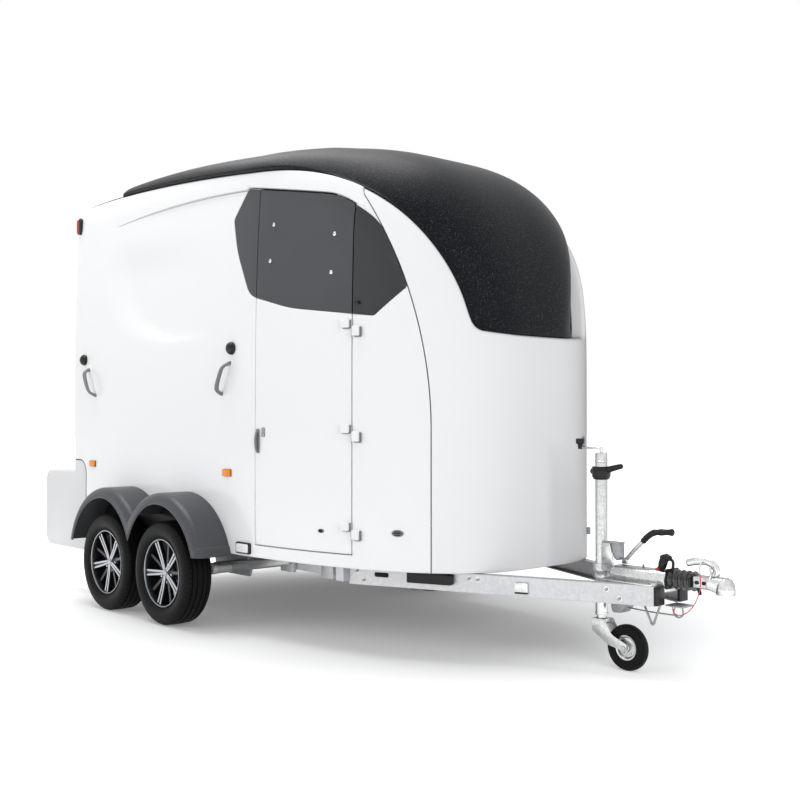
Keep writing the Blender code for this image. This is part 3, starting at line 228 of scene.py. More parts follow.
class TrailerFittingSizes(bpy.types.PropertyGroup):
    grip_radius: length_property("Grip radius", "Radius of a grab handle", 0.013)
    knob_radius: length_property("Knob radius", "Radius of a buffer knob", 0.036)
    stud_radius: length_property("Stud radius", "Radius of a window stud", 0.011)
    cable_width: length_property("Cable width", "Diameter of the cable", 0.004)


class TrailerColours(bpy.types.PropertyGroup):
    body: colour_property("Body white", (0.86, 0.86, 0.865))
    roof: colour_property("Roof black", (0.0048, 0.0053, 0.0070))
    plastic: colour_property("Plastic grey", (0.047, 0.050, 0.056))
    pane: colour_property("Pane tint", (0.066, 0.069, 0.075))
    zinc: colour_property("Zinc grey", (0.62, 0.63, 0.645))
    rubber: colour_property("Rubber black", (0.0060, 0.0062, 0.0068))
    cable: colour_property("Cable red", (0.62, 0.02, 0.02))


# Skin formulas


def crown_z(spine_x):
    """Height of the roof's middle line, a parabola along x."""
    ahead = spine_x - NOSE_START_X
    return CROWN_Z + CROWN_SLOPE * ahead + CROWN_CURVE * ahead**2


def section_of(station):
    """Crown power, shoulder and top height at a station, blended from side to nose by the sine squared."""
    noseward = np.sin(np.maximum(station - NOSE_START_X, 0.0)) ** 2
    power = ROOF_POWER_SIDE + (ROOF_POWER_NOSE - ROOF_POWER_SIDE) * noseward
    shoulder = SHOULDER_SIDE_Z + (SHOULDER_NOSE_Z - SHOULDER_SIDE_Z) * noseward
    return power, shoulder, crown_z(np.minimum(station, NOSE_START_X))


def skin(station, height, inset=0.0, by_angle=False):
    """Points of the right side's skin, moved in by inset.

    In plan a superellipse quarter follows a straight side; over the shoulder the outline shrinks by another
    superellipse up to the crown, and a small lean narrows the wall above waist height.
    """
    station, height, inset = np.broadcast_arrays(np.asarray(station, float), height, inset)
    angle = np.maximum(station - NOSE_START_X, 0.0)
    spine_x = np.minimum(station, NOSE_START_X)
    out_x = (NOSE_LENGTH - inset) * np.sin(angle)
    out_y = -(HALF_WIDTH - inset) * np.sign(np.cos(angle)) * np.abs(np.cos(angle)) ** (2 / NOSE_POWER)
    power, shoulder, top = section_of(station)
    top = top - inset
    if by_angle:
        share = np.sin(height) ** (2 / power)
        z = shoulder + (top - shoulder) * share
    else:
        z = height
        share = np.clip((z - shoulder) / (top - shoulder), 0.0, 1.0)
    out = (1 - share**power) ** (1 / power)
    lean = 1 - LEAN * np.clip((z - LEAN_FROM_Z) / LEAN_HEIGHT, 0, 1) ** LEAN_POWER
    x = spine_x + out_x * out
    raised = EASE_RAISE * np.exp(-np.abs(x - NOSE_START_X) / EASE_LENGTH) * share**3
    return np.stack([x, out_y * out * lean, z + raised], -1)


def edge_z(station):
    """Height of the line between body and roof: a falling rail, then a superellipse quarter."""
    angle = np.maximum(station - NOSE_START_X, 0.0)
    angle = np.minimum(angle, math.pi - angle)
    along = np.clip((station - REAR_X) / (NOSE_START_X - REAR_X), 0.0, 1.0)
    side = RAIL_REAR_Z - RAIL_DROP * along**RAIL_DROP_POWER
    share = np.clip(angle / FRONT_PANEL_ANGLE, 0.0, 1.0)
    nose = (RAIL_REAR_Z - RAIL_DROP - FRONT_PANEL_Z) * (1 - share**2) ** (1 / FRONT_PANEL_ROUND)
    nose = nose - EDGE_FALL * NOSE_LENGTH * angle * np.exp(-angle / 0.17) * (share < 1)
    left = PANEL_CORNER - np.clip((angle - CORNER_ANGLE) * CORNER_ARM, 0.0, PANEL_CORNER)
    corner = PANEL_CORNER - np.sqrt(PANEL_CORNER**2 - left**2)
    sag = PANEL_SAG * np.clip((math.pi / 2 - angle) / (math.pi / 2 - CORNER_ANGLE), 0.0, 1.0) ** 2
    return np.where(angle > 0, FRONT_PANEL_Z + np.maximum(nose, corner + sag), side)


def gutter(station, z):
    """Extra depth of the front panel beside its side edges, easing out over its width and height."""
    angle = np.maximum(station - NOSE_START_X, 0.0)
    angle = np.minimum(angle, math.pi - angle)
    table = np.linspace(0.001, FRONT_PANEL_ANGLE, 200)
    edge = np.interp(-z, -edge_z(NOSE_START_X + table), table)
    aside = (angle - edge) * CORNER_ARM
    depth = bpy.context.scene.trailer_shell.ledge_depth
    return depth * (1 - ease(aside / 0.24)) * ease((2.34 - z) / 0.45) * (angle > 0)


def edge_angle(station, inset):
    """The roof edge's height as an angle round the crown's section."""
    power, shoulder, top = section_of(station)
    share = np.clip((edge_z(station) + RAIL_HALF_GAP - shoulder) / (top - inset - shoulder), 0.0, 1.0)
    return np.arcsin(share ** (power / 2))


def seam_station(z):
    """Station of the seam between wall and nose: upright below, leaning back by a square law above."""
    rise = np.clip((z - SEAM_STRAIGHT_Z) / (SEAM_TOP_Z - SEAM_STRAIGHT_Z), 0.0, 1.0)
    return NOSE_START_X + SEAM_ANGLE + (SEAM_TOP_ANGLE - SEAM_ANGLE) * rise**SEAM_POWER


def station_of(x, z):
    """Station of a side point from its x and z: the plan angle is refined as the crown shortens."""
    x, z = np.broadcast_arrays(np.asarray(x, float), z)
    station = x.copy()
    for _ in range(12):
        power, shoulder, top = section_of(station)
        share = np.clip((z - shoulder) / (top - shoulder), 0.0, 1.0)
        out = np.maximum((1 - share**power) ** (1 / power), 0.2)
        angle = np.arcsin(np.clip((x - NOSE_START_X) / (NOSE_LENGTH * out), 0.0, 0.999))
        station = np.where(x > NOSE_START_X, NOSE_START_X + angle, x)
    return station


def side_place(x, z, inset):
    return skin(station_of(x, z), z, inset)


def ease(t):
    """Smoothstep: 3 t squared minus 2 t cubed between 0 and 1."""
    t = np.clip(t, 0.0, 1.0)
    return t * t * (3 - 2 * t)


def roll_inset(reach, roll):
    """How far a rolled edge lies inside: a quarter circle over the distance roll from the edge."""
    near = np.clip(roll - reach, 0, roll)
    return roll - np.sqrt(np.maximum(roll**2 - near**2, 0))


def rounded(corners, steps=8, grow=0.0):
    """The outline through corners (a, b, radius), each corner an arc; grow moves the sides outwards."""
    places = np.array([c[:2] for c in corners], float)
    radii = np.array([c[2] for c in corners], float)
    turned_places = np.roll(places, -1, 0)
    turn = np.sign(np.sum(places[:, 0] * turned_places[:, 1] - turned_places[:, 0] * places[:, 1]))
    if grow:
        before, after = places - np.roll(places, 1, 0), turned_places - places
        before /= np.linalg.norm(before, axis=1)[:, None]
        after /= np.linalg.norm(after, axis=1)[:, None]
        out_before = turn * np.stack([before[:, 1], -before[:, 0]], 1)
        out_after = turn * np.stack([after[:, 1], -after[:, 0]], 1)
        middle = out_before + out_after
        places = places + grow * middle * 2 / np.sum(middle * middle, axis=1)[:, None]
        radii = np.where(radii > 0, np.maximum(radii + grow, 0.002), 0.0)
    outline = []
    for i, (corner, radius) in enumerate(zip(places, radii)):
        if radius <= 0:
            outline.append(corner[None])
            continue
        back, ahead = places[i - 1] - corner, places[(i + 1) % len(places)] - corner
        back, ahead = back / np.linalg.norm(back), ahead / np.linalg.norm(ahead)
        half = math.acos(np.clip(back @ ahead, -1, 1)) / 2
        centre = corner + (back + ahead) / np.linalg.norm(back + ahead) * radius / math.sin(half)
        first = corner + back * radius / math.tan(half) - centre
        last = corner + ahead * radius / math.tan(half) - centre
        start = math.atan2(first[1], first[0])
        sweep = (math.atan2(last[1], last[0]) - start + math.pi) % (2 * math.pi) - math.pi
        angles = start + sweep * np.linspace(0, 1, steps + 1)
        outline.append(centre + radius * np.stack([np.cos(angles), np.sin(angles)], 1))
    return np.concatenate(outline)


def rectangle(left, right, low, high, corner, steps=6):
    """A rounded rectangle's outline."""
    return rounded(
        ((left, low, corner), (right, low, corner), (right, high, corner), (left, high, corner)), steps
    )


def tall_box(half, low, high, corner):
    return rectangle(-half, half, low, high, corner)


def clipped(outline, low, high):
    """The part of a closed outline between two values of its first coordinate."""
    for limit, sign in ((low, 1), (high, -1)):
        kept = []
        for i, here in enumerate(outline):
            before = outline[i - 1]
            is_kept, was_kept = sign * (here[0] - limit) > 0, sign * (before[0] - limit) > 0
            if is_kept != was_kept:
                kept.append(before + (limit - before[0]) / (here[0] - before[0]) * (here - before))
            if is_kept:
                kept.append(here)
        outline = kept
    return np.array(outline)


def window_top(x):
    """Height of the window row's upper edge at x."""
    outline = rounded(WINDOW_CORNERS, 12)
    upper = outline[outline[:, 1] > 2.40 - 0.5 * (outline[:, 0] - 1.1)]
    upper = upper[np.argsort(upper[:, 0])]
    return np.interp(x, upper[:, 0], upper[:, 1])


def crease_z(x):
    """Height of the step under the roof rail: a shallow parabola, then 12 mm over the windows."""
    x = np.asarray(x, float)
    arch = CREASE_TOP_Z - 0.038 * ((x - 0.62) / 0.83) ** 2
    over = window_top(x) + CREASE_OVER_WINDOWS
    blend = ease((x - 1.16) / 0.12)
    return arch + (over - arch) * blend


def side_relief(x, z):
    """Depth of the wall behind the plain skin.

    Under the crease the wall steps back within 4 mm and comes out again by an exponential, with a fine
    groove by a bell curve; the swoosh is a smooth step between two superellipse arcs.
    """
    shell = bpy.context.scene.trailer_shell
    below = crease_z(x) - z
    depth = shell.rail_step * ease((x + 0.25) / 0.75) * (1 - 0.75 * ease((x - 1.5) / 0.6))
    step = depth * ease(below / STEP_HEIGHT) * np.exp(-np.maximum(below, 0) / STEP_FADE)
    width = 0.0022 + 0.0016 * ease((x - 1.16) / 0.1)
    groove = GROOVE_DEPTH * ease((x + 0.27) / 0.05) * (1 - ease((x - 2.0) / 0.1))
    step = step + groove * np.exp(-(((below - GROOVE_BELOW) / width) ** 2))
    across, up = np.abs(x - SWOOSH_MIDDLE_X), np.maximum(SWOOSH_TOP_Z - z, 0)
    (wide, power), (narrow, bend) = SWOOSH_OUTER, SWOOSH_INNER
    outer = (across / wide) ** power + (up / SWOOSH_DROP) ** power
    inner = (across / narrow) ** bend + (up / SWOOSH_DROP) ** bend
    outside = np.maximum(1 - outer ** (1 / power), 0)
    beyond = np.maximum(inner ** (1 / bend) - 1, 0)
    between = outside / (outside + beyond + 1e-6)
    fade = (1 - ease((x - 0.2) / 0.8)) * (1 - ease((z - 2.08) / 0.28))
    return step + shell.swoosh * ease(between) * fade


# Mesh helpers


def clean_mesh(name, points, faces):
    """A mesh of the points and faces, with its doubles merged and its faces turned outwards."""
    mesh = bpy.data.meshes.new(name)
    mesh.from_pydata(points.tolist(), [], [tuple(int(i) for i in face) for face in faces])
    work = bmesh.new()
    work.from_mesh(mesh)
    bmesh.ops.remove_doubles(work, verts=work.verts, dist=WELD)
    bmesh.ops.recalc_face_normals(work, faces=work.faces)
    work.to_mesh(mesh)
    work.free()
    return mesh


def piece(name, part, look_name, stands_for=(), body="trailer", sharp=38.0):
    """Makes a piece of a part's points and faces in the part's frame, and rides it on its body."""
    mesh = clean_mesh(name, np.asarray(part[0], float) - (SHIFT, 0.0, 0.0), part[1])
    mesh.shade_smooth()
    mesh.set_sharp_from_angle(angle=math.radians(sharp))
    mesh.materials.append(finish(look_name))
    obj = bpy.data.objects.new(name, mesh)
    bpy.context.scene.collection.objects.link(obj)
    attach(obj, body)
    if stands_for:
        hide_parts(*stands_for)
    return obj


def joined(*parts):
    """Several (points, faces) as one."""
    points, faces, start = [], [], 0
    for some_points, some_faces in parts:
        points.append(np.asarray(some_points, float))
        faces += [tuple(int(i) + start for i in face) for face in some_faces]
        start += len(some_points)
    return np.concatenate(points), faces


def mirrored(part):
    return np.asarray(part[0]) * (1, -1, 1), part[1]


def both(part):
    """A right-side part with its mirror image on the left."""
    return joined(part, mirrored(part))


def on_side(part, side):
    """A right-side part as it is, or its mirror image for the left."""
    return mirrored(part) if side > 0 else part


def moved(part, by):
    return np.asarray(part[0]) + by, part[1]


def grid_faces(columns, rows, round_columns=False, round_rows=False):
    """Quads of a point grid by index arithmetic, closed round where asked."""
    i = np.arange(columns if round_columns else columns - 1)[:, None]
    j = np.arange(rows if round_rows else rows - 1)[None, :]
    ahead, up = (i + 1) % columns, (j + 1) % rows
    return np.stack([i * rows + j, ahead * rows + j, ahead * rows + up, i * rows + up], -1).reshape(-1, 4)


def between_grids(outer, inner):
    """A closed solid between two point grids of one shape, with quads round their common border."""
    columns, rows = outer.shape[:2]
    count = columns * rows
    faces = grid_faces(columns, rows)
    low, high = np.arange(columns) * rows, np.arange(columns) * rows + rows - 1
    first, last = np.arange(rows), np.arange(rows) + (columns - 1) * rows
    rims = []
    for edge in (low, high, first, last):
        rims.append(np.stack([edge[:-1], edge[1:], edge[1:] + count, edge[:-1] + count], -1))
    points = np.concatenate([outer.reshape(-1, 3), inner.reshape(-1, 3)])
    return points, np.concatenate([faces, faces[:, ::-1] + count, *rims])


AXIS_ORDER = {"x": (2, 0, 1), "y": (0, 2, 1), "z": (0, 1, 2)}


def lathe(profile, centre=(0, 0, 0), axis="y", sides=48):
    """A closed profile of (radius, offset) turned round an axis through centre."""
    angles = np.arange(sides) * 2 * math.pi / sides
    radius, along = np.array(profile, float).T
    ring = np.stack([np.outer(np.cos(angles), radius), np.outer(np.sin(angles), radius)], -1)
    offset = np.broadcast_to(along, ring.shape[:2])
    grid = np.stack([ring[..., 0], ring[..., 1], offset], -1)[..., AXIS_ORDER[axis]] + np.array(centre)
    return grid.reshape(-1, 3), grid_faces(sides, len(profile), True, True)


def dome(radius, height, foot=0.0, steps=8):
    """A closed profile of (radius, offset) for a knob: a quarter ellipse on a short straight foot."""
    angles = np.linspace(0, math.pi / 2, steps)
    curve = [(radius * math.cos(a), foot + height * math.sin(a)) for a in angles]
    return [(0.0, 0.0), (radius, 0.0)] + curve


def disc(radius, low, high, edge=0.0015):
    """A closed profile of (radius, offset) for a plate or pin with small chamfers."""
    return [
        (0.0, low), (radius - edge, low), (radius, low + edge), (radius, high - edge),
        (radius - edge, high), (0.0, high),
    ]


def curve_through(route, count=40):
    """Points along a Catmull-Rom curve through the route's points, evenly shared."""
    route = np.array(route, float)
    padded = np.concatenate([2 * route[:1] - route[1:2], route, 2 * route[-1:] - route[-2:-1]])
    t = np.linspace(0, len(route) - 1 - 1e-9, count)
    i = t.astype(int)
    s = (t - i)[:, None]
    a, b, c, d = padded[i], padded[i + 1], padded[i + 2], padded[i + 3]
    return 0.5 * (
        2 * b + (c - a) * s + (2 * a - 5 * b + 4 * c - d) * s**2 + (3 * b - a - 3 * c + d) * s**3
    )


def tube(route, radius, sides=16, squash=1.0, up=(0, 0, 1)):
    """A ring of the given radius carried along the route, square to it, with domed ends."""
    route = np.array(route, float)
    radius = np.broadcast_to(np.asarray(radius, float), len(route)).copy()
    along = np.gradient(route, axis=0)
    along /= np.linalg.norm(along, axis=1)[:, None]
    up = np.array(up, float)
    if np.abs(along @ up).max() > 0.97:
        up = np.array((0.31, 0.95, 0.05)) if abs(up[2]) > 0.5 else np.array((0.0, 0.0, 1.0))
    side = np.cross(along, up)
    side /= np.linalg.norm(side, axis=1)[:, None]
    other = np.cross(side, along)
    angles = np.arange(sides) * 2 * math.pi / sides
    cosine, sine = np.cos(angles)[None, :, None], squash * np.sin(angles)[None, :, None]
    ring = cosine * side[:, None] + sine * other[:, None]
    grid = route[:, None] + radius[:, None, None] * ring
    ends = []
    for index, sign in ((0, -1), (-1, 1)):
        shares = np.array([0.35, 0.7, 1.0]) * math.pi / 2
        centre = route[index] + sign * along[index] * radius[index] * 0.5 * np.sin(shares)[:, None]
        ends.append(centre[:, None] + radius[index] * np.cos(shares)[:, None, None] * ring[index])
    grid = np.concatenate([ends[0][::-1], grid, ends[1]])
    return grid.reshape(-1, 3), grid_faces(len(grid), sides, False, True)


def bent(points, count, radius, sides=16, squash=1.0, up=(0, 0, 1)):
    """A tube along the curve through some points."""
    route = curve_through(points, count)
    return tube(route, radius, sides, squash, up)


def inward(outline, by):
    """A closed outline's points moved inwards along their own normals."""
    outline = np.asarray(outline, float)
    before, after = outline - np.roll(outline, 1, 0), np.roll(outline, -1, 0) - outline
    area = np.sum(outline[:, 0] * np.roll(outline[:, 1], -1) - np.roll(outline[:, 0], -1) * outline[:, 1])
    normals = []
    for edge in (before, after):
        edge = edge / np.maximum(np.linalg.norm(edge, axis=1), 1e-9)[:, None]
        normals.append(np.stack([-edge[:, 1], edge[:, 0]], 1) * np.sign(area))
    middle = normals[0] + normals[1]
    scale = 2 / np.maximum(np.sum(middle * middle, axis=1), 0.8)
    return outline + by * middle * scale[:, None]


def slab(outline, low, high, axis="y", edge=0.002):
    """A closed outline pushed along an axis, its two rims rounded by a quarter circle."""
    outline = np.asarray(outline, float)
    levels, rings = [], []
    for t in (math.pi / 2, math.pi / 4, 0.0):
        rings.append(inward(outline, edge * (1 - math.cos(t))))
        levels.append(low + edge * (1 - math.sin(t)))
    for t in (0.0, math.pi / 4, math.pi / 2):
        rings.append(inward(outline, edge * (1 - math.cos(t))))
        levels.append(high - edge * (1 - math.sin(t)))
    flat = np.stack(rings)
    depth = np.broadcast_to(np.array(levels)[:, None], flat.shape[:2])
    grid = np.stack([flat[..., 0], flat[..., 1], depth], -1)[..., AXIS_ORDER[axis]]
    count = len(outline)
    faces = [tuple(f) for f in grid_faces(6, count, False, True)]
    faces += [tuple(range(count))[::-1], tuple(range(5 * count, 6 * count))]
    return grid.reshape(-1, 3), faces


def corner_slab(corners, steps, low, high, axis="y", edge=0.002):
    """A slab over the outline through corners (a, b, radius)."""
    outline = rounded(corners, steps)
    return slab(outline, low, high, axis, edge)


def box(low, high, edge=0.002):
    """A block with rounded rims and rounded upright corners."""
    outline = rectangle(low[0], high[0], low[1], high[1], max(edge, 0.001), 3)
    return slab(outline, low[2], high[2], "z", edge)


def axes_from(here, ahead, above):
    """Origin, forward, up and outward directions from a surface point, one ahead and one above."""
    forward = (ahead - here) / np.linalg.norm(ahead - here)
    up = (above - here) / np.linalg.norm(above - here)
    out = np.cross(forward, up)
    return here, forward, up, out / np.linalg.norm(out)


def on_wall(x, z, side=-1):
    """Origin and directions of the side skin at x, z."""
    depth = side_relief(np.array([x]), np.array([z]))[0]
    axes = axes_from(
        *(side_place(a, b, depth) for a, b in ((x, z), (x + AXES_STEP, z), (x, z + AXES_STEP)))
    )
    return [axis * (1, -side, 1) for axis in axes]


def on_nose(station, z):
    """Origin and directions of the nose skin at a station and height."""
    return axes_from(skin(station, z), skin(station + AXES_STEP, z), skin(station, z + AXES_STEP))


def on_axes(part, axes):
    """Carries a part's (a, b, c) coordinates to forward, up and outward directions at an origin."""
    origin, forward, up, out = axes
    points = np.asarray(part[0])
    return origin + points[:, :1] * forward + points[:, 1:2] * up + points[:, 2:] * out, part[1]


# Panels from outlines


def dense(loop, spacing, closed=True):
    """A polyline with each stretch split evenly to the spacing."""
    loop = np.asarray(loop, float)
    ends = np.roll(loop, -1, 0) if closed else loop[1:]
    starts = loop if closed else loop[:-1]
    pieces = []
    for a, b in zip(starts, ends):
        count = max(1, int(math.ceil(np.linalg.norm(b - a) / spacing)))
        pieces.append(a + (b - a) * np.arange(count)[:, None] / count)
    if not closed:
        pieces.append(loop[-1:])
    points = np.concatenate(pieces)
    step = np.linalg.norm(points - np.roll(points, 1, 0), axis=1)
    return points[step > 1e-5] if closed else points


def inside(points, loop):
    """Whether each point lies in a closed loop, by the count of edges crossed."""
    x, y = points[:, :1], points[:, 1:]
    a, b = loop, np.roll(loop, -1, 0)
    spans = (a[None, :, 1] > y) != (b[None, :, 1] > y)
    with np.errstate(divide="ignore", invalid="ignore"):
        share = (y - a[None, :, 1]) / (b[None, :, 1] - a[None, :, 1])
        cut = a[None, :, 0] + share * (b[None, :, 0] - a[None, :, 0])
    return (np.sum(spans & (x < cut), axis=1) % 2) == 1


def distance(points, a, b):
    """Each point's distance to the nearest of the segments a to b."""
    best = np.full(len(points), 1e9)
    for start in range(0, len(a), 200):
        p, q = a[start : start + 200], b[start : start + 200]
        run = q - p
        t = np.sum((points[:, None] - p) * run, -1) / np.maximum(np.sum(run * run, -1), 1e-12)
        near = p + np.clip(t, 0, 1)[..., None] * run
        best = np.minimum(best, np.linalg.norm(points[:, None] - near, axis=-1).min(axis=1))
    return best


def panel(place, outer, holes, lines, spacing, roll, depth, relief):
    """A closed panel over the region inside outer and outside all holes, in two flat coordinates.

    The region is triangulated through a grid, rings beside each edge and the given lines. place carries it
    to the skin, moved in by the relief and, within roll of an edge, by a quarter circle.
    """
    loops = [dense(loop, spacing) for loop in (outer, *holes)]
    open_lines = [dense(line, spacing, closed=False) for line in lines]

    def kept(points):
        good = inside(points, loops[0])
        for hole in loops[1:]:
            good &= ~inside(points, hole)
        return good

    low, high = loops[0].min(0), loops[0].max(0)
    across, up = np.meshgrid(
        np.arange(low[0], high[0], spacing), np.arange(low[1], high[1], spacing), indexing="ij"
    )
    across = across + 0.5 * spacing * (np.arange(across.shape[1]) % 2)
    field = np.stack([across.ravel(), up.ravel()], 1)
    a = np.concatenate([*loops, *[line[:-1] for line in open_lines]])
    b = np.concatenate([*[np.roll(loop, -1, 0) for loop in loops], *[line[1:] for line in open_lines]])
    field = field[kept(field)]
    field = field[distance(field, a, b) > 0.55 * spacing]
    rings = [
        (loop, sign, share * roll) for loop in loops for share in (0.3, 1.0, 2.2) for sign in (-1, 1)
    ]
    ring = np.concatenate([inward(loop, sign * by) for loop, sign, by in rings])
    gap = np.concatenate([np.full(len(loop), by) for loop, _, by in rings])
    good = kept(ring) & (distance(ring, a, b) > 0.9 * gap)
    coords = np.concatenate([*loops, *open_lines, field, ring[good]])
    edges, start = [], 0
    for loop in loops:
        edges += [(start + i, start + (i + 1) % len(loop)) for i in range(len(loop))]
        start += len(loop)
    for line in open_lines:
        edges += [(start + i, start + i + 1) for i in range(len(line) - 1)]
        start += len(line)
    flat, _, tris, *_ = delaunay_2d_cdt([tuple(c) for c in coords.tolist()], edges, [], 0, 1e-6)
    flat = np.array([(v[0], v[1]) for v in flat])
    tris = np.array(tris, int)
    tris = tris[kept(flat[tris].mean(axis=1))]
    used, index = np.unique(tris, return_inverse=True)
    flat, tris = flat[used], index.reshape(-1, 3)
    area = np.cross(flat[tris[:, 1]] - flat[tris[:, 0]], flat[tris[:, 2]] - flat[tris[:, 0]])
    tris[area < 0] = tris[area < 0][:, ::-1]
    sides = np.concatenate([tris[:, [0, 1]], tris[:, [1, 2]], tris[:, [2, 0]]])
    _, where, count = np.unique(np.sort(sides, axis=1), axis=0, return_index=True, return_counts=True)
    border = sides[where[count == 1]]
    reach = distance(flat, flat[border[:, 0]], flat[border[:, 1]])
    sunk = relief(flat[:, 0], flat[:, 1])
    outer_points = place(flat[:, 0], flat[:, 1], roll_inset(reach, roll) + sunk)
    inner_points = place(flat[:, 0], flat[:, 1], depth + sunk)
    total = len(flat)
    here, ahead = border[:, 0], border[:, 1]
    rims = [np.stack([ahead, here, here + total], 1), np.stack([ahead, here + total, ahead + total], 1)]
    faces = np.concatenate([tris, tris[:, ::-1] + total, *rims])
    return np.concatenate([outer_points, inner_points]), faces


# Materials

DUST_COLOUR = (0.55, 0.53, 0.50)
METAL_DUST_COLOUR = (0.42, 0.41, 0.39)
FLECK_COLOUR = (0.060, 0.064, 0.074)


def look(name):
    """A new material with its Principled BSDF, as (material, nodes, shader)."""
    made = bpy.data.materials.new(name)
    made.use_nodes = True
    nodes = made.node_tree.nodes
    return made, nodes, nodes["Principled BSDF"]


def feed(socket, value):
    """Sets a socket to a number or a colour, or links another node's output to it."""
    if isinstance(value, bpy.types.NodeSocket):
        socket.id_data.links.new(value, socket)
    else:
        socket.default_value = (*value, 1.0) if hasattr(value, "__len__") and len(value) == 3 else value


def set_sockets(node, **values):
    """Feeds a node's sockets by name, with an underscore for each space, and gives the node."""
    for label, value in values.items():
        feed(node.inputs[label.replace("_", " ")], value)
    return node


def add_node(nodes, kind, **values):
    return set_sockets(nodes.new(f"ShaderNode{kind}"), **values)


def object_place(nodes):
    """The Object coordinates, in which every pattern is drawn."""
    return nodes.new("ShaderNodeTexCoord").outputs["Object"]


def math_node(nodes, operation, *values):
    node = nodes.new("ShaderNodeMath")
    node.operation = operation
    for socket, value in zip(node.inputs, values):
        feed(socket, value)
    return node.outputs[0]


def noise_node(nodes, vector, scale, detail, roughness=0.5):
    noise = add_node(nodes, "TexNoise", Vector=vector, Scale=scale, Detail=detail, Roughness=roughness)
    return noise.outputs["Fac"]


def bands(nodes, scale, distortion=0.0):
    """Wave bands along Z in Object coordinates."""
    wave = add_node(nodes, "TexWave", Vector=object_place(nodes), Scale=scale, Distortion=distortion)
    wave.bands_direction = "Z"
    return wave.outputs["Fac"]


def new_group(name, inputs, outputs):
    """A node group with numbers for inputs and outputs, as (tree, nodes, start, end)."""
    tree = bpy.data.node_groups.new(name, "ShaderNodeTree")
    for label, value in inputs.items():
        socket = tree.interface.new_socket(name=label, in_out="INPUT", socket_type="NodeSocketFloat")
        socket.default_value = value
    for label in outputs:
        tree.interface.new_socket(name=label, in_out="OUTPUT", socket_type="NodeSocketFloat")
    nodes = tree.nodes
    return tree, nodes, nodes.new("NodeGroupInput").outputs, nodes.new("NodeGroupOutput")


def grain_group():
    """Moulded grain: two octaves of noise in Object coordinates as a height, and blotches as a mask."""
    inputs = {"Scale": 100.0, "Blotch Scale": 2.0}
    tree, nodes, start, end = new_group("Moulded grain", inputs, ("Height", "Blotch"))
    where = object_place(nodes)
    fine = noise_node(nodes, where, start["Scale"], 4.0, 0.6)
    set_sockets(end, Height=fine, Blotch=noise_node(nodes, where, start["Blotch Scale"], 3.0, 0.55))
    return tree


def dust_group():
    """Road dust that thins out with height: a ramp over Object Z, broken up by noise."""
    tree, nodes, start, end = new_group("Road dust", {"Low": 0.0, "High": 0.6, "Amount": 0.3}, ("Mask",))
    where = object_place(nodes)
    height = add_node(nodes, "SeparateXYZ", Vector=where).outputs["Z"]
    span = add_node(nodes, "MapRange", Value=height, From_Min=start["Low"], From_Max=start["High"])
    set_sockets(span, To_Min=1.0, To_Max=0.0)
    broken = math_node(nodes, "MULTIPLY", span.outputs[0], noise_node(nodes, where, 9.0, 5.0, 0.65))
    set_sockets(end, Mask=math_node(nodes, "MULTIPLY", broken, start["Amount"]))
    return tree


def spangle_group():
    """Zinc spangle: each Voronoi cell has its own lightness, and soft noise clouds lie over the cells."""
    tree, nodes, start, end = new_group(
        "Zinc spangle", {"Scale": 70.0, "Contrast": 0.5}, ("Value", "Cloud")
    )
    where = object_place(nodes)
    cells = add_node(nodes, "TexVoronoi", Vector=where, Scale=start["Scale"])
    split = add_node(nodes, "SeparateColor", Color=cells.outputs["Color"])
    cloud = noise_node(nodes, where, 7.0, 5.0, 0.6)
    mixed = math_node(nodes, "MULTIPLY", split.outputs[0], start["Contrast"])
    value = math_node(nodes, "ADD", mixed, math_node(nodes, "MULTIPLY", cloud, 0.6))
    set_sockets(end, Value=value, Cloud=cloud)
    return tree


GROUPS = {"Moulded grain": grain_group, "Road dust": dust_group, "Zinc spangle": spangle_group}


def group_node(nodes, name, **values):
    """The outputs of a node that places the named group, which is made on its first use."""
    node = nodes.new("ShaderNodeGroup")
    node.node_tree = bpy.data.node_groups.get(name) or GROUPS[name]()
    return set_sockets(node, **values).outputs


def mix_colour(nodes, factor, first, second):
    node = nodes.new("ShaderNodeMix")
    node.data_type = "RGBA"
    for index, value in ((0, factor), (6, first), (7, second)):
        feed(node.inputs[index], value)
    return node.outputs[2]


def shade(colour, factor):
    return tuple(min(c * factor, 1.0) for c in colour)


def tones(nodes, value, colour, dark, light):
    """The colour times dark to the colour times light, by the value."""
    return mix_colour(nodes, value, shade(colour, dark), shade(colour, light))


def edge_mask(nodes, power):
    """0 where a surface faces the eye, rising by a power law to 1 where it turns away."""
    return math_node(nodes, "POWER", add_node(nodes, "LayerWeight", Blend=0.5).outputs["Facing"], power)


def surface(made, nodes, shader, base, value, rough, height, strength, depth=0.001):
    """Feeds the base colour, a roughness between two by the value, and a bump, and gives the material."""
    span = add_node(nodes, "MapRange", Value=value, To_Min=rough[0], To_Max=rough[1])
    relief = add_node(nodes, "Bump", Strength=strength, Distance=depth, Height=height)
    set_sockets(shader, Base_Color=base, Roughness=span.outputs[0], Normal=relief.outputs[0])
    return made


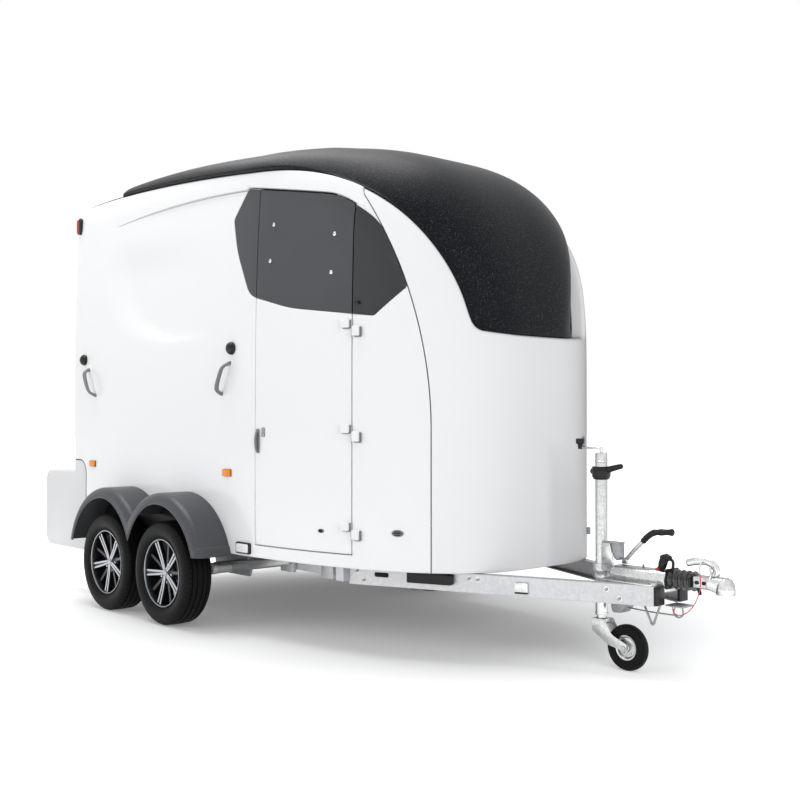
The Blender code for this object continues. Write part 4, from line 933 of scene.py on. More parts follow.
def moulded(
    name, colour, roughness, grain, strength, blotch, spread, dust=0.0, coat=0.0, gloss=0.5, rim=0.0
):
    """A moulded finish: tone blotches, fine grain in the bump, dust low down, with rim darker edges."""
    made, nodes, shader = look(name)
    set_sockets(shader, Coat_Weight=coat, Coat_Roughness=0.08, Specular_IOR_Level=gloss)
    grains = group_node(nodes, "Moulded grain", Scale=grain, Blotch_Scale=blotch)
    base = tones(nodes, grains["Blotch"], colour, 1 - spread, 1 + spread)
    if dust:
        mask = group_node(nodes, "Road dust", Low=0.25, High=0.95, Amount=dust)["Mask"]
        base = mix_colour(nodes, mask, base, DUST_COLOUR)
    # Painted shade: darker by rim where the surface turns away from the eye.
    if rim:
        base = mix_colour(nodes, edge_mask(nodes, 3.0), base, shade(colour, 1 - rim))
    rough = roughness * (1 - 2 * spread), roughness * (1 + 2 * spread)
    return surface(made, nodes, shader, base, grains["Blotch"], rough, grains["Height"], strength)


def roof_finish(name, colour):
    """Black gelcoat with fine light flecks: the brightest tips of a fine noise are mixed towards grey."""
    made, nodes, shader = look(name)
    set_sockets(shader, Specular_IOR_Level=0.11)
    grains = group_node(nodes, "Moulded grain", Scale=150.0, Blotch_Scale=1.2)
    fleck = add_node(nodes, "MapRange", Value=grains["Height"], From_Min=0.54, From_Max=0.68, To_Max=0.8)
    base = tones(nodes, grains["Blotch"], colour, 0.9, 1.25)
    base = mix_colour(nodes, fleck.outputs[0], base, FLECK_COLOUR)
    return surface(
        made, nodes, shader, base, grains["Blotch"], (0.36, 0.50), grains["Height"], 0.35, 0.0015
    )


def pane_finish(name, colour):
    """Tinted acrylic: a dark glossy pane with faint waviness and a little depth."""
    made, nodes, shader = look(name)
    set_sockets(shader, IOR=1.49, Specular_IOR_Level=0.3, Transmission_Weight=0.12)
    grains = group_node(nodes, "Moulded grain", Scale=14.0, Blotch_Scale=2.2)
    base = tones(nodes, grains["Blotch"], colour, 0.85, 1.15)
    return surface(
        made, nodes, shader, base, grains["Blotch"], (0.16, 0.24), grains["Height"], 0.02, 0.002
    )


def zinc_finish(name, colour, contrast, roughness=0.42, metallic=0.75, scale=75.0, rim=0.3):
    """Zinc: spangle cells in colour and roughness, dust low down, darker where the surface turns away."""
    made, nodes, shader = look(name)
    set_sockets(shader, Metallic=metallic)
    cells = group_node(nodes, "Zinc spangle", Scale=scale, Contrast=contrast)
    base = tones(nodes, cells["Value"], colour, 0.72, 1.22)
    mask = group_node(nodes, "Road dust", Low=0.0, High=0.7, Amount=0.25)["Mask"]
    base = mix_colour(nodes, mask, base, METAL_DUST_COLOUR)
    # Painted shade: darker by rim where the surface turns away from the eye.
    base = mix_colour(nodes, edge_mask(nodes, 1.4), base, shade(colour, 1 - rim))
    rough = roughness * 0.8, roughness * 1.3
    return surface(made, nodes, shader, base, cells["Value"], rough, cells["Cloud"], 0.12)


def machined_finish(name, dark, light):
    """Turned aluminium: close bands of a wave in the bump, over a soft cloud."""
    made, nodes, shader = look(name)
    set_sockets(shader, Metallic=1.0, Coat_Weight=0.3, Coat_Roughness=0.1)
    grains = group_node(nodes, "Moulded grain", Scale=60.0, Blotch_Scale=12.0)
    base = mix_colour(nodes, grains["Blotch"], dark, light)
    turned = bands(nodes, 160.0, 1.5)
    return surface(made, nodes, shader, base, grains["Height"], (0.24, 0.38), turned, 0.06, 0.0005)


def lens_finish(name, colour, transmission=0.25):
    """A ribbed lens: fine bands of a wave in the bump, over a clear coloured plastic."""
    made, nodes, shader = look(name)
    set_sockets(shader, IOR=1.5, Transmission_Weight=transmission, Specular_IOR_Level=0.25)
    set_sockets(shader, Coat_Weight=0.15, Coat_Roughness=0.04)
    ribs = bands(nodes, 42.0)
    return surface(
        made, nodes, shader, tones(nodes, ribs, colour, 0.75, 1.2), ribs, (0.10, 0.2), ribs, 0.25
    )


LOOKS = {}


def finish(name):
    """The material of that name, made once with the colours of the panel.

    After its name and colour a moulded one gives roughness, grain, bump strength, blotch scale, spread of
    tone, dust, coat, gloss and rim; a zinc one gives contrast, roughness, metallic, cell scale and rim.
    """
    if name in LOOKS:
        return LOOKS[name]
    colours = bpy.context.scene.trailer_colours
    labels = ("body", "roof", "plastic", "pane", "zinc", "rubber", "cable")
    body, roof, plastic, pane, zinc, rubber, cable = (tuple(getattr(colours, label)) for label in labels)
    recipes = {
        "gelcoat": (moulded, "white_gelcoat", body, 0.26, 60.0, 0.02, 0.9, 0.004, 0.0, 0.35),
        # Painted shade: the pods are the body white darkened to 0.80.
        "pod": (moulded, "white_pod_moulding", shade(body, 0.80), 0.32, 60.0, 0.02, 0.9, 0.004),
        # The nose is the body white with strong painted shade at its turned-away edges, rim 0.93.
        "nose": (moulded, "white_nose_gelcoat", body, 0.34, 60.0, 0.02, 0.9, 0.004, 0.0, 0.0, 0.12, 0.93),
        "rail": (moulded, "white_trim", body, 0.30, 90.0, 0.03, 2.0, 0.008, 0.0, 0.2),
        "frame": (
            moulded, "pane_frame_black", (0.008, 0.008, 0.009), 0.55, 240.0, 0.2, 3.0, 0.1, 0.0, 0.0, 0.2
        ),
        "grip": (moulded, "grip_grey_plastic", (0.17, 0.173, 0.18), 0.34, 300.0, 0.12, 6.0, 0.06),
        "guard": (moulded, "guard_plastic", plastic, 0.38, 420.0, 0.25, 4.0, 0.08, 0.04, 0.0, 0.4),
        "black": (
            moulded, "black_plastic", (0.008, 0.008, 0.009), 0.36, 350.0, 0.18, 5.0, 0.1, 0.0, 0.0, 0.3
        ),
        "bellows": (
            moulded, "bellows_rubber", (0.014, 0.014, 0.016), 0.2, 300.0, 0.1, 6.0, 0.15, 0.0, 0.0, 0.7
        ),
        "seal": (
            moulded, "rubber_seal", (0.007, 0.007, 0.007), 0.5, 300.0, 0.2, 6.0, 0.15, 0.0, 0.0, 0.25
        ),
        "tyre": (moulded, "tyre_rubber", rubber, 0.5, 160.0, 0.25, 7.0, 0.12, 0.006, 0.0, 0.1),
        "rim_black": (
            moulded, "rim_lacquer", (0.007, 0.007, 0.008), 0.25, 120.0, 0.03, 8.0, 0.15, 0.0, 0.0, 0.3
        ),
        "deck": (moulded, "coated_board", (0.10, 0.065, 0.042), 0.6, 260.0, 0.3, 6.0, 0.2),
        "mat": (moulded, "rubber_mat", (0.025, 0.025, 0.027), 0.75, 320.0, 0.35, 7.0, 0.15),
        "cable": (moulded, "red_cable_sheath", cable, 0.35, 500.0, 0.1, 30.0, 0.1),
        "roof": (roof_finish, "black_roof_gelcoat", roof),
        "pane": (pane_finish, "tinted_pane", pane),
        # Painted shade: the front pane is the same tinted acrylic darkened to 0.55.
        "pane_front": (pane_finish, "tinted_pane_front", shade(pane, 0.55)),
        "machined": (machined_finish, "machined_alloy", (0.30, 0.31, 0.33), (0.46, 0.47, 0.50)),
        # Every zinc finish darkens its turned-away edges as painted shade: rim 0.3 for zinc and steel, 0.93
        # for the bright plate.
        "zinc": (zinc_finish, "galvanised_steel", zinc, 0.28),
        "bright": (zinc_finish, "bright_zinc_plate", (0.78, 0.785, 0.79), 0.4, 0.24, 0.95, 90.0, 0.93),
        "steel": (zinc_finish, "dull_steel", (0.36, 0.365, 0.38), 0.35, 0.42, 0.8, 120.0),
        "red": (lens_finish, "red_lens", (0.55, 0.012, 0.012)),
        "amber": (lens_finish, "amber_lens", (0.86, 0.25, 0.004), 0.0),
        "clear": (lens_finish, "clear_lens", (0.84, 0.85, 0.86), 0.0),
    }
    make, *values = recipes[name]
    LOOKS[name] = make(*values)
    return LOOKS[name]


def refinish(look_name, *nodes, edge=0.0):
    """Gives kept nodes of the part a finish and, with edge, a small bevel on their welded mesh."""
    for name in nodes:
        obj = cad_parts[name]
        obj.data.materials.clear()
        obj.data.materials.append(finish(look_name))
        if edge:
            weld = obj.modifiers.new("Weld", "WELD")
            weld.merge_threshold = WELD
            bevel = obj.modifiers.new("Bevel", "BEVEL")
            bevel.width = edge
            bevel.segments = 2
            bevel.limit_method = "ANGLE"
            bevel.angle_limit = math.radians(32)


# Cables, made first


def build_breakaway_cable():
    """The breakaway cable hangs from the coupling handle in one loop and ends under the end plate."""
    sizes = bpy.context.scene.trailer_fittings
    route = (
        (3.600, -0.030, 0.5300), (3.6085, -0.043, 0.520), (3.6145, -0.050, 0.500), (3.618, -0.053, 0.475),
        (3.617, -0.054, 0.450), (3.612, -0.055, 0.425), (3.603, -0.055, 0.400), (3.591, -0.054, 0.377),
        (3.577, -0.053, 0.357), (3.561, -0.052, 0.340), (3.543, -0.050, 0.326), (3.524, -0.048, 0.316),
        (3.505, -0.046, 0.310), (3.486, -0.043, 0.310), (3.470, -0.040, 0.317), (3.461, -0.037, 0.330),
        (3.458, -0.036, 0.345),
    )
    fine = curve_through(route, 30) - (SHIFT, 0, 0)
    curve = bpy.data.curves.new("breakaway_cable", "CURVE")
    curve.dimensions = "3D"
    curve.bevel_depth = sizes.cable_width / 2
    curve.bevel_resolution = 3
    curve.use_fill_caps = True
    spline = curve.splines.new("POLY")
    spline.points.add(len(fine) - 1)
    spline.points.foreach_set("co", np.concatenate([fine, np.ones((len(fine), 1))], 1).ravel())
    curve.materials.append(finish("cable"))
    obj = bpy.data.objects.new("breakaway_cable", curve)
    bpy.context.scene.collection.objects.link(obj)
    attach(obj, "trailer")


# Body skins


def wall_loop():
    """The side wall's outline in x and z: up the rear edge, along the rail, down the seam and back."""
    levels = np.linspace(0, 1, 90)
    top_station = seam_station(SEAM_TOP_Z)
    stations = np.concatenate(
        [np.linspace(REAR_X, NOSE_START_X, 60), np.linspace(NOSE_START_X, top_station, 30)[1:]]
    )
    for _ in range(20):
        stations[-1] = seam_station(edge_z(stations[-1:]))[0]
    stations[59:] = np.linspace(NOSE_START_X, stations[-1], 30)
    rail_z = edge_z(stations) - RAIL_HALF_GAP
    rail = skin(stations, rail_z)[:, [0, 2]]
    z = SKIRT_Z + (rail_z[-1] - SKIRT_Z) * levels[::-1][1:]
    seam = skin(seam_station(z) - SEAM_HALF_GAP, z)[:, [0, 2]]
    corner = rounded(
        (
            (POD_FRONT_X + HALF_GAP, POD_BOTTOM_Z, 0.0),
            (POD_FRONT_X + HALF_GAP, POD_SIDE_TOP_Z + HALF_GAP, POD_ROUND),
            (REAR_X, POD_SIDE_TOP_Z + HALF_GAP, 0.0),
        )
    )
    corner[0] = (POD_FRONT_X + HALF_GAP, SKIRT_Z)
    return np.concatenate([rail, seam, corner])


def door_loop(grow=0.0):
    """The entry door in x and z: sill, two upright edges and the window row's upper edge."""
    low, high = DOOR_REAR_X - grow, DOOR_FRONT_X + grow
    window = clipped(rounded(WINDOW_CORNERS, 10, grow), low, high)
    top = window[window[:, 1] > window[:, 1].mean()]
    top = top[np.argsort(-top[:, 0])]
    return np.concatenate([[(low, DOOR_SILL_Z - grow), (high, DOOR_SILL_Z - grow)], top])


def crease_lines():
    """Lines along the crease and its groove, so that the relief has points there."""
    x = np.linspace(-0.30, 2.12, 90)
    return [np.stack([x, crease_z(x) - by], 1) for by in (0.0, 0.0024, GROOVE_BELOW, 0.0066, 0.009)]


def build_side_walls():
    """Both side walls: the left one has a plain window row, the right one the door opening too."""
    shell = bpy.context.scene.trailer_shell
    window = rounded(WINDOW_CORNERS, 12, WINDOW_GAP)
    for name, side in SIDES.items():
        holes = [window] + ([door_loop(DOOR_GAP)] if name == "right" else [])
        part = panel(
            side_place, wall_loop(), holes, crease_lines(), shell.spacing, shell.edge_roll, WALL,
            side_relief,
        )
        piece(f"side_skin_{name}", on_side(part, side), "gelcoat", [f"side_wall_{name}"], sharp=50)


def build_entry_door():
    """The door's white skin reaches up to the window row; its hinges are dressed with the fittings."""
    shell = bpy.context.scene.trailer_shell
    window = rounded(WINDOW_CORNERS, 12, WINDOW_GAP)
    part = panel(side_place, door_loop(), [window], (), shell.spacing, shell.edge_roll, WALL, side_relief)
    piece("entry_door_skin", part, "gelcoat", ["entry_door"], body="entry_door", sharp=50)


FAR_X = 9.0
PANES = {
    "rear": (-FAR_X, DOOR_REAR_X - DOOR_GAP, "trailer"),
    "door": (DOOR_REAR_X, DOOR_FRONT_X, "entry_door"),
    "front": (DOOR_FRONT_X + DOOR_GAP, FAR_X, "trailer"),
}


def window_recess(x, z):
    return side_relief(x, z) + WINDOW_GAP


def behind_pane(x, z, inset):
    return side_place(x, z, inset + GLASS + FRAME_BEHIND)


def pane_parts(outline, sight):
    """A pane with rounded edges, and its frame, which leaves the sight opening free."""
    pane = panel(side_place, outline, [], (), PANE_GRID, PANE_ROLL, GLASS, window_recess)
    rear = inward(outline, FRAME_INSET)
    return pane, panel(behind_pane, rear, [sight], (), FRAME_GRID, FRAME_ROLL, FRAME_DEPTH, side_relief)


def build_windows():
    """Tinted panes with rounded edges, each over a black frame that leaves the sight opening free."""
    whole = rounded(WINDOW_CORNERS, 12)
    sight = rounded(WINDOW_CORNERS, 12, -SIGHT_BORDER)
    for name, (low, high, body) in PANES.items():
        outline = clipped(whole, low, high)
        hole = clipped(sight, low + SIGHT_STILE, high - SIGHT_STILE)
        pane, surround = pane_parts(outline, hole)
        # The front pane takes the darker copy, its painted shade.
        tint = "pane_front" if name == "front" else "pane"
        piece(f"pane_{name}", pane, tint, [f"window_{name}"], body=body, sharp=50)
        piece(f"pane_frame_{name}", surround, "frame", body=body, sharp=50)
    pane, surround = map(mirrored, pane_parts(whole, sight))
    piece("pane_left", pane, "pane", ["window_left"], sharp=50)
    piece("pane_frame_left", surround, "frame", sharp=50)


def rolled_levels(count, length, roll):
    """Shares from 0 to 1 with two extra lines within the roll at each end."""
    ends = np.array([0.0, 0.3 * roll, roll]) / length
    return np.concatenate([ends, np.linspace(0, 1, count)[1:-1], 1 - ends[::-1]])


def build_nose():
    """The nose between both seams, as a grid of stations and heights with rolled edges all round."""
    shell = bpy.context.scene.trailer_shell
    roll = shell.edge_roll
    across = np.union1d(rolled_levels(96, 3.2, roll), np.linspace(0.300, 0.358, 12))
    across = np.union1d(across, 1 - np.linspace(0.300, 0.358, 12))[:, None]
    down = np.array([0.0, 0.002, 0.005, 0.009, 0.014, 0.019, 0.025, 0.034, 0.05, 0.08]) / 1.6
    rows = np.concatenate(
        [[0.0, 0.3 * roll / 1.6, roll / 1.6], np.linspace(0, 0.935, 57)[1:], 1 - down[::-1]]
    )[None, :]
    z = np.full((len(across), rows.shape[1]), 1.0)
    for _ in range(20):
        first = seam_station(z) + SEAM_HALF_GAP
        station = first + across * (2 * NOSE_START_X + math.pi - 2 * first)
        z = SKIRT_Z + rows * (edge_z(station) - RAIL_HALF_GAP - SKIRT_Z)
    height = edge_z(station) - SKIRT_Z
    reach = np.minimum(np.minimum(across, 1 - across) * 3.2, rows * height)
    slope = (edge_z(station + 0.004) - edge_z(station - 0.004)) / (0.008 * CORNER_ARM)
    from_lip = (1 - rows) * height / np.sqrt(1 + slope**2)
    inset = np.maximum(roll_inset(reach, roll), roll_inset(from_lip, shell.lip_roll))
    deep = gutter(station, edge_z(station)) * np.exp(-(((1 - rows) * height / 0.06) ** 2))
    outer, inner = skin(station, z, inset), skin(station, z, WALL + deep)
    piece("nose_skin", between_grids(outer, inner), "nose", ["nose_shell"], sharp=50)


def roof_stations():
    """Stations of the roof edge by the side and round the nose, closer at the panel's lower corners."""
    side = np.linspace(ROOF_REAR_X, NOSE_START_X, 64)
    corner = CORNER_ANGLE + np.linspace(-0.02, 0.09, 14)
    over = np.concatenate([np.linspace(0.0, math.pi, 96)[1:-1], corner, math.pi - corner])
    return side, NOSE_START_X + np.unique(over)


def roof_lift(stations):
    """Proud along the sides, running out to a recess inside the nose; rounded up from its rear end."""
    shell = bpy.context.scene.trailer_shell
    angle = np.maximum(stations - NOSE_START_X, 0.0)
    angle = np.minimum(angle, math.pi - angle)
    noseward = ease((angle - math.radians(8)) / math.radians(34))
    lift = shell.roof_lift + (-shell.front_recess - shell.roof_lift) * noseward
    back = np.clip((stations - ROOF_REAR_X) / 0.05, 0.0, 1.0)
    return lift * np.sqrt(1 - (1 - back) ** 2)


def crown_grid(stations, lift, inset, rows, roll):
    """Points from the roof edge to the roof's middle: skin angles, the lift rounded up from the edge."""
    stations = stations[:, None]
    levels = np.concatenate([[0.0, 0.004, 0.010, 0.018, 0.03], np.linspace(0.05, 1, rows)])[None, :]
    rise = np.sqrt(1 - (1 - np.clip(levels / 0.022, 0, 1)) ** 2)
    proud = np.where(lift[:, None] > 0, 1 - ease(levels / 0.6), 1 - ease((levels - 0.3) / 0.65))
    total = inset - lift[:, None] * rise * proud + roll_inset(levels * 1.4, roll) * (inset == 0)
    for extra in (True, False):
        start = edge_angle(stations, total[:, :1])
        height = start + (math.pi / 2 - start) * levels
        points = skin(stations, height, total, by_angle=True)
        if extra:
            total = total + gutter(stations, points[..., 2])
    return points


def crown_piece(name, side, over, lift_of, look_name, node):
    """A shell over one side, the nose and the other side, open inside along the roof's middle line."""
    grids = []
    roll = bpy.context.scene.trailer_shell.edge_roll
    near_stations = np.concatenate([side, over])
    for inset in (0.0, WALL - 0.004):
        near = crown_grid(near_stations, lift_of(near_stations), inset, 30, roll)
        far = crown_grid(side[::-1], lift_of(side[::-1]), inset, 30, roll) * (1, -1, 1)
        grids.append(np.concatenate([near, far]))
    points, faces = between_grids(*grids)
    columns, rows = grids[0].shape[:2]
    top_row = np.arange(columns) * rows + rows - 1
    closing = {*top_row.tolist(), *(top_row + columns * rows).tolist()}
    faces = [tuple(f) for f in faces.tolist() if not closing.issuperset(f)]
    piece(name, (points, faces), look_name, [node], sharp=60)


def build_roof():
    """The black roof shell over the load space and nose, and the white crown behind it."""
    side, over = roof_stations()
    extra = ROOF_REAR_X + np.array([0.0, 0.002, 0.006, 0.012, 0.022, 0.036])
    ahead = np.concatenate([extra + HALF_GAP, side[side > ROOF_REAR_X + 0.05]])
    crown_piece("roof_skin", ahead, over, roof_lift, "roof", "roof_shell")
    roll = bpy.context.scene.trailer_shell.edge_roll
    ends = np.array([0.0, 0.3 * roll, roll])
    behind = np.concatenate(
        [REAR_X + ends, np.linspace(REAR_X, ROOF_REAR_X, 22)[1:-1], ROOF_REAR_X - ends[::-1] - HALF_GAP]
    )

    def sunk(stations):
        reach = np.minimum(stations - REAR_X, ROOF_REAR_X - stations)
        return -roll_inset(reach, roll)

    crown_piece("crown_skin", behind, side[:0], sunk, "gelcoat", "rear_crown")
    stations = np.linspace(REAR_X + 0.01, ROOF_REAR_X, 30)
    seam = tube(skin(stations, edge_z(stations), 0.0012), 0.0022, 10)
    # A dark seal tube in the crease's groove, thicker over the windows: painted shadow under the rail.
    x = np.linspace(-0.2, 1.93, 90)
    fine = crease_z(x) - GROOVE_BELOW
    painted_shadow_line = tube(side_place(x, fine, side_relief(x, fine)), 0.0016 + 0.0024 * ease((x - 1.2) / 0.1), 10)
    piece("rail_seams", both(joined(seam, painted_shadow_line)), "seal")
    around = np.linspace(edge_angle(REAR_X, WALL), math.pi / 2, 40)
    gasket = skin(REAR_X + 0.012, around, WALL + 0.002, by_angle=True)
    piece("crown_gasket", both(tube(gasket, 0.0080, 12)), "seal")


# Rear end


def ring_route(outline, x):
    outline = np.asarray(outline)
    return np.stack([np.full(len(outline), x), outline[:, 0], outline[:, 1]], 1)


def ring_tube(route, radius, sides=10):
    """A ring carried along a closed route that lies in a plane of constant x."""
    along = np.roll(route, -1, 0) - np.roll(route, 1, 0)
    along /= np.linalg.norm(along, axis=1)[:, None]
    side = np.cross(along, (1.0, 0.0, 0.0))
    angles = np.arange(sides) * 2 * math.pi / sides
    cosine, sine = np.cos(angles)[None, :, None], np.sin(angles)[None, :, None]
    ring = cosine * side[:, None] + sine * np.array((1.0, 0.0, 0.0))
    grid = route[:, None] + radius * ring
    return grid.reshape(-1, 3), grid_faces(len(grid), sides, True, True)


def build_rear_end():
    """Portal, ramp and flap finishes, with seals, pressed fields, battens, latches and high lamps."""
    refinish("gelcoat", "rear_portal", "rear_ramp", "rear_flap", edge=0.003)
    seal = rounded(
        ((-0.703, 0.482, 0.02), (0.703, 0.482, 0.02), (0.703, 2.526, 0.125), (-0.703, 2.526, 0.125)), 10
    )
    piece("portal_seal", ring_tube(ring_route(dense(seal, 0.05), -0.8125), 0.0023), "seal")
    fields = [
        slab(tall_box(0.155, 0.62, 1.74, 0.03) + (y, 0.0), -0.8645, -0.8585, "x", 0.003)
        for y in (-0.5, -0.167, 0.167, 0.5)
    ]
    piece("ramp_fields", joined(*fields), "gelcoat", body="rear_ramp")
    field = slab(tall_box(0.62, 1.93, 2.44, 0.09), -0.8490, -0.8435, "x", 0.003)
    piece("flap_field", field, "gelcoat", body="rear_flap")
    mat = slab(tall_box(0.675, 0.512, 1.84, 0.02), -0.8152, -0.8095, "x", 0.002)
    battens = [
        slab(tall_box(0.655, z, z + 0.022, 0.006), -0.811, -0.798, "x", 0.003)
        for z in np.arange(0.60, 1.80, 0.165)
    ]
    piece("ramp_mat", joined(mat, *battens), "mat", body="rear_ramp")
    latches = []
    for side in (-1, 1):
        base = slab(tall_box(0.022, 1.40, 1.52, 0.008) + (side * 0.685, 0.0), -0.868, -0.8585, "x", 0.002)
        bar = tube(
            [(-0.874, side * 0.685, 1.415), (-0.880, side * 0.685, 1.45), (-0.874, side * 0.685, 1.50)],
            0.008,
        )
        latches += [base, bar]
    piece("ramp_latches", joined(*latches), "bright", body="rear_ramp")
    pull = bent(
        [
            (-0.842, -0.16, 1.99), (-0.868, -0.15, 1.99), (-0.872, 0.0, 1.99), (-0.868, 0.15, 1.99),
            (-0.842, 0.16, 1.99),
        ],
        34, 0.007,
    )
    piece("flap_pull", pull, "black", body="rear_flap")
    turns = np.arange(32) * 2 * math.pi / 32
    oval = np.stack([-0.778 + 0.021 * np.cos(turns), 2.524 + 0.058 * np.sin(turns)], 1)
    piece("high_lamp_housings", both(slab(oval, -0.869, -0.845, "y", 0.006)), "black")
    lens = slab(tall_box(0.0215, 2.470, 2.580, 0.020) + (-0.8465, 0.0), -0.8293, -0.7850, "x", 0.010)
    piece("high_lamp_lenses", both(lens), "red", ["high_lamp_right", "high_lamp_left"])


def build_light_pods():
    """Rounded white pods behind the wheels, with a side plate, and upright lamps in black housings."""
    outline = rounded(
        (
            (POD_REAR_X, POD_BOTTOM_Z, POD_TAIL_ROUND), (POD_FRONT_X, POD_BOTTOM_Z, 0.012),
            (POD_FRONT_X, POD_SIDE_TOP_Z, POD_ROUND), (REAR_X - 0.0005, POD_SIDE_TOP_Z, 0.0),
            (REAR_X - 0.0005, POD_TOP_Z, 0.012), (POD_REAR_X, POD_TOP_Z, POD_TAIL_ROUND),
        ),
        10,
    )
    tail = rounded(
        (
            (POD_REAR_X, POD_BOTTOM_Z, POD_TAIL_ROUND), (REAR_X - 0.0005, POD_BOTTOM_Z, 0.01),
            (REAR_X - 0.0005, POD_TOP_Z, 0.01), (POD_REAR_X, POD_TOP_Z, POD_TAIL_ROUND),
        ),
        10,
    )
    seam = rounded(((REAR_X + 0.01, 0.9155, 0.0), (-0.6395, 0.9155, POD_ROUND), (-0.6395, 0.62, 0.0)), 10)
    seam = np.stack([seam[:, 0], np.full(len(seam), -0.8786), seam[:, 1]], 1)
    piece("pod_seams", both(tube(dense(seam, 0.02, closed=False), 0.0026, 10, up=(0, 1, 0))), "seal")
    skins = joined(slab(outline, -0.8798, -0.851, "y", 0.009), slab(tail, -0.858, -0.740, "y", 0.010))
    base = slab(tall_box(0.052, 0.395, 0.725, 0.016) + (TAIL_LAMP_Y, 0.0), -1.264, -1.255, "x", 0.002)
    for name, side in SIDES.items():
        piece(f"pod_skin_{name}", on_side(skins, side), "pod", [f"light_pod_{name}"], sharp=45)
        piece(f"tail_lamp_base_{name}", on_side(base, side), "black")
        for colour, (low, high) in TAIL_LENSES.items():
            lens = slab(
                tall_box(0.045, low, high, 0.01) + (TAIL_LAMP_Y, 0.0), -1.2698, -1.262, "x", 0.003
            )
            stands_for = [f"tail_lamp_{name}"] if colour == "red" else ()
            piece(f"tail_lamp_{colour}_{name}", on_side(lens, side), colour, stands_for)


# Mudguards and wheels


def guard_section(inset):
    """The guard's section in radius and y: flat top, round shoulder, upright face, groove and hem."""
    corner = np.linspace(0, math.pi / 2, 12)
    edge_y, top, bend = GUARD_OUTER_Y - inset, GUARD_RADIUS - inset, GUARD_ROUND - inset
    flat = [(top, y) for y in (HALF_WIDTH + HALF_GAP, 0.92, 0.96, 1.0, 1.03)]
    arc = [(top - bend + bend * math.cos(a), edge_y - bend + bend * math.sin(a)) for a in corner]
    face = [
        (0.4135, 0.0), (0.412, 0.0030), (0.409, 0.0034), (0.407, 0.0), (0.4025, 0.0),
        (GUARD_LIP_RADIUS, 0.0015),
    ]
    low = [(radius, edge_y - by * (inset == 0)) for radius, by in face]
    return np.array(flat + arc + low)


def guard_grid(inset):
    """The section swept round each wheel centre, mitred in the valley; a 4 mm band ends it in front."""
    radius, y = guard_section(inset).T
    web = GUARD_WEB * (radius < GUARD_LIP_RADIUS + 0.016)
    valley = np.arccos(AXLES["front"] / 2 / (radius - web))
    shares = np.linspace(0, 1, 46)[:, None]
    ends = np.array([0.0, 0.94, 0.945, 0.99, 1.0])
    front_shares = np.unique(np.concatenate([np.linspace(0, 1, 46), ends]))[:, None]
    rear_end = math.pi - np.arcsin((GUARD_REAR_Z - TYRE_RADIUS) / radius)
    front_end = np.arcsin((GUARD_FRONT_Z - TYRE_RADIUS) / radius)
    rear = rear_end + shares * (valley - rear_end)
    front = (math.pi - valley) + front_shares * (front_end - math.pi + valley)
    grids = []
    for centre, angle, along in ((0.0, rear, shares), (AXLES["front"], front, front_shares)):
        near = along if centre == 0 else 1 - along
        proud = 0.004 * ease((along - 0.940) / 0.005) * (inset == 0) * (centre > 0)
        carried = radius + proud * (radius > 0.42) - web * ease((near - 0.55) / 0.45)
        grids.append(
            np.stack(
                [centre + carried * np.cos(angle), -y + 0 * angle, TYRE_RADIUS + carried * np.sin(angle)],
                -1,
            )
        )
    return np.concatenate([grids[0], grids[1][1:]])


def arch_liner():
    """A thin plate over the wall under both arches: two circle arcs that meet in the valley."""
    radius = GUARD_RADIUS - GUARD_WALL - 0.001
    valley = math.acos(AXLES["front"] / 2 / radius)
    rear = np.linspace(math.pi - math.asin((GUARD_REAR_Z - TYRE_RADIUS) / radius), valley, 40)
    front = np.linspace(math.pi - valley, math.asin((GUARD_FRONT_Z - TYRE_RADIUS) / radius), 40)[1:]
    arcs = [
        np.stack([x + radius * np.cos(a), TYRE_RADIUS + radius * np.sin(a)], 1)
        for x, a in ((0.0, rear), (AXLES["front"], front))
    ]
    return slab(np.concatenate(arcs), -0.8828, -0.8802, "y", 0.0008)


def build_mudguards():
    """Double-arch guards with a hemmed outer edge over dark arch liners."""
    piece("arch_liners", both(arch_liner()), "black")
    for name, side in SIDES.items():
        part = between_grids(guard_grid(0.0), guard_grid(GUARD_WALL))
        piece(f"guard_{name}", on_side(part, side), "guard", [f"mudguard_{name}"], sharp=40)


def tyre_profile():
    """Half of the tyre's section from bead to middle: (radius, offset, tread share, shoulder share)."""
    sizes = bpy.context.scene.trailer_wheels
    wall = curve_through(
        [
            (0.2045, 0.0700), (0.214, 0.0800), (0.230, 0.0890), (0.252, 0.0924), (0.272, 0.0905),
            (0.286, 0.0835),
        ],
        20,
    )
    low = np.exp(-(((wall[:, 0] - 0.222) / 0.0025) ** 2))
    high = np.exp(-(((wall[:, 0] - 0.268) / 0.003) ** 2))
    ridges = 0.0012 * low - 0.0012 * high
    wall = wall + np.stack([0 * ridges, ridges], 1)
    rows = [(0.1905, 0.0700, 0.0, 0.0), *[(r, w, 0.0, 0.0) for r, w in wall]]
    rows += [(0.2925, 0.0775, 0.0, 1.0), (0.2975, 0.0705, 0.0, 1.0), (0.3000, 0.0640, 0.0, 1.0)]
    half = sizes.groove_width / 2
    for centre in (0.050, 0.0185):
        crown = 0.3018 - 0.0018 * (centre / 0.05) ** 2
        rows += [
            (crown, centre + half, 0.0, 1.0 if centre > 0.04 else 0.0),
            (crown, centre + half - 0.001, 1.0, 0.0),
        ]
        rows += [(crown, centre - half + 0.001, 1.0, 0.0), (crown, centre - half, 0.0, 0.0)]
    return np.array(rows)


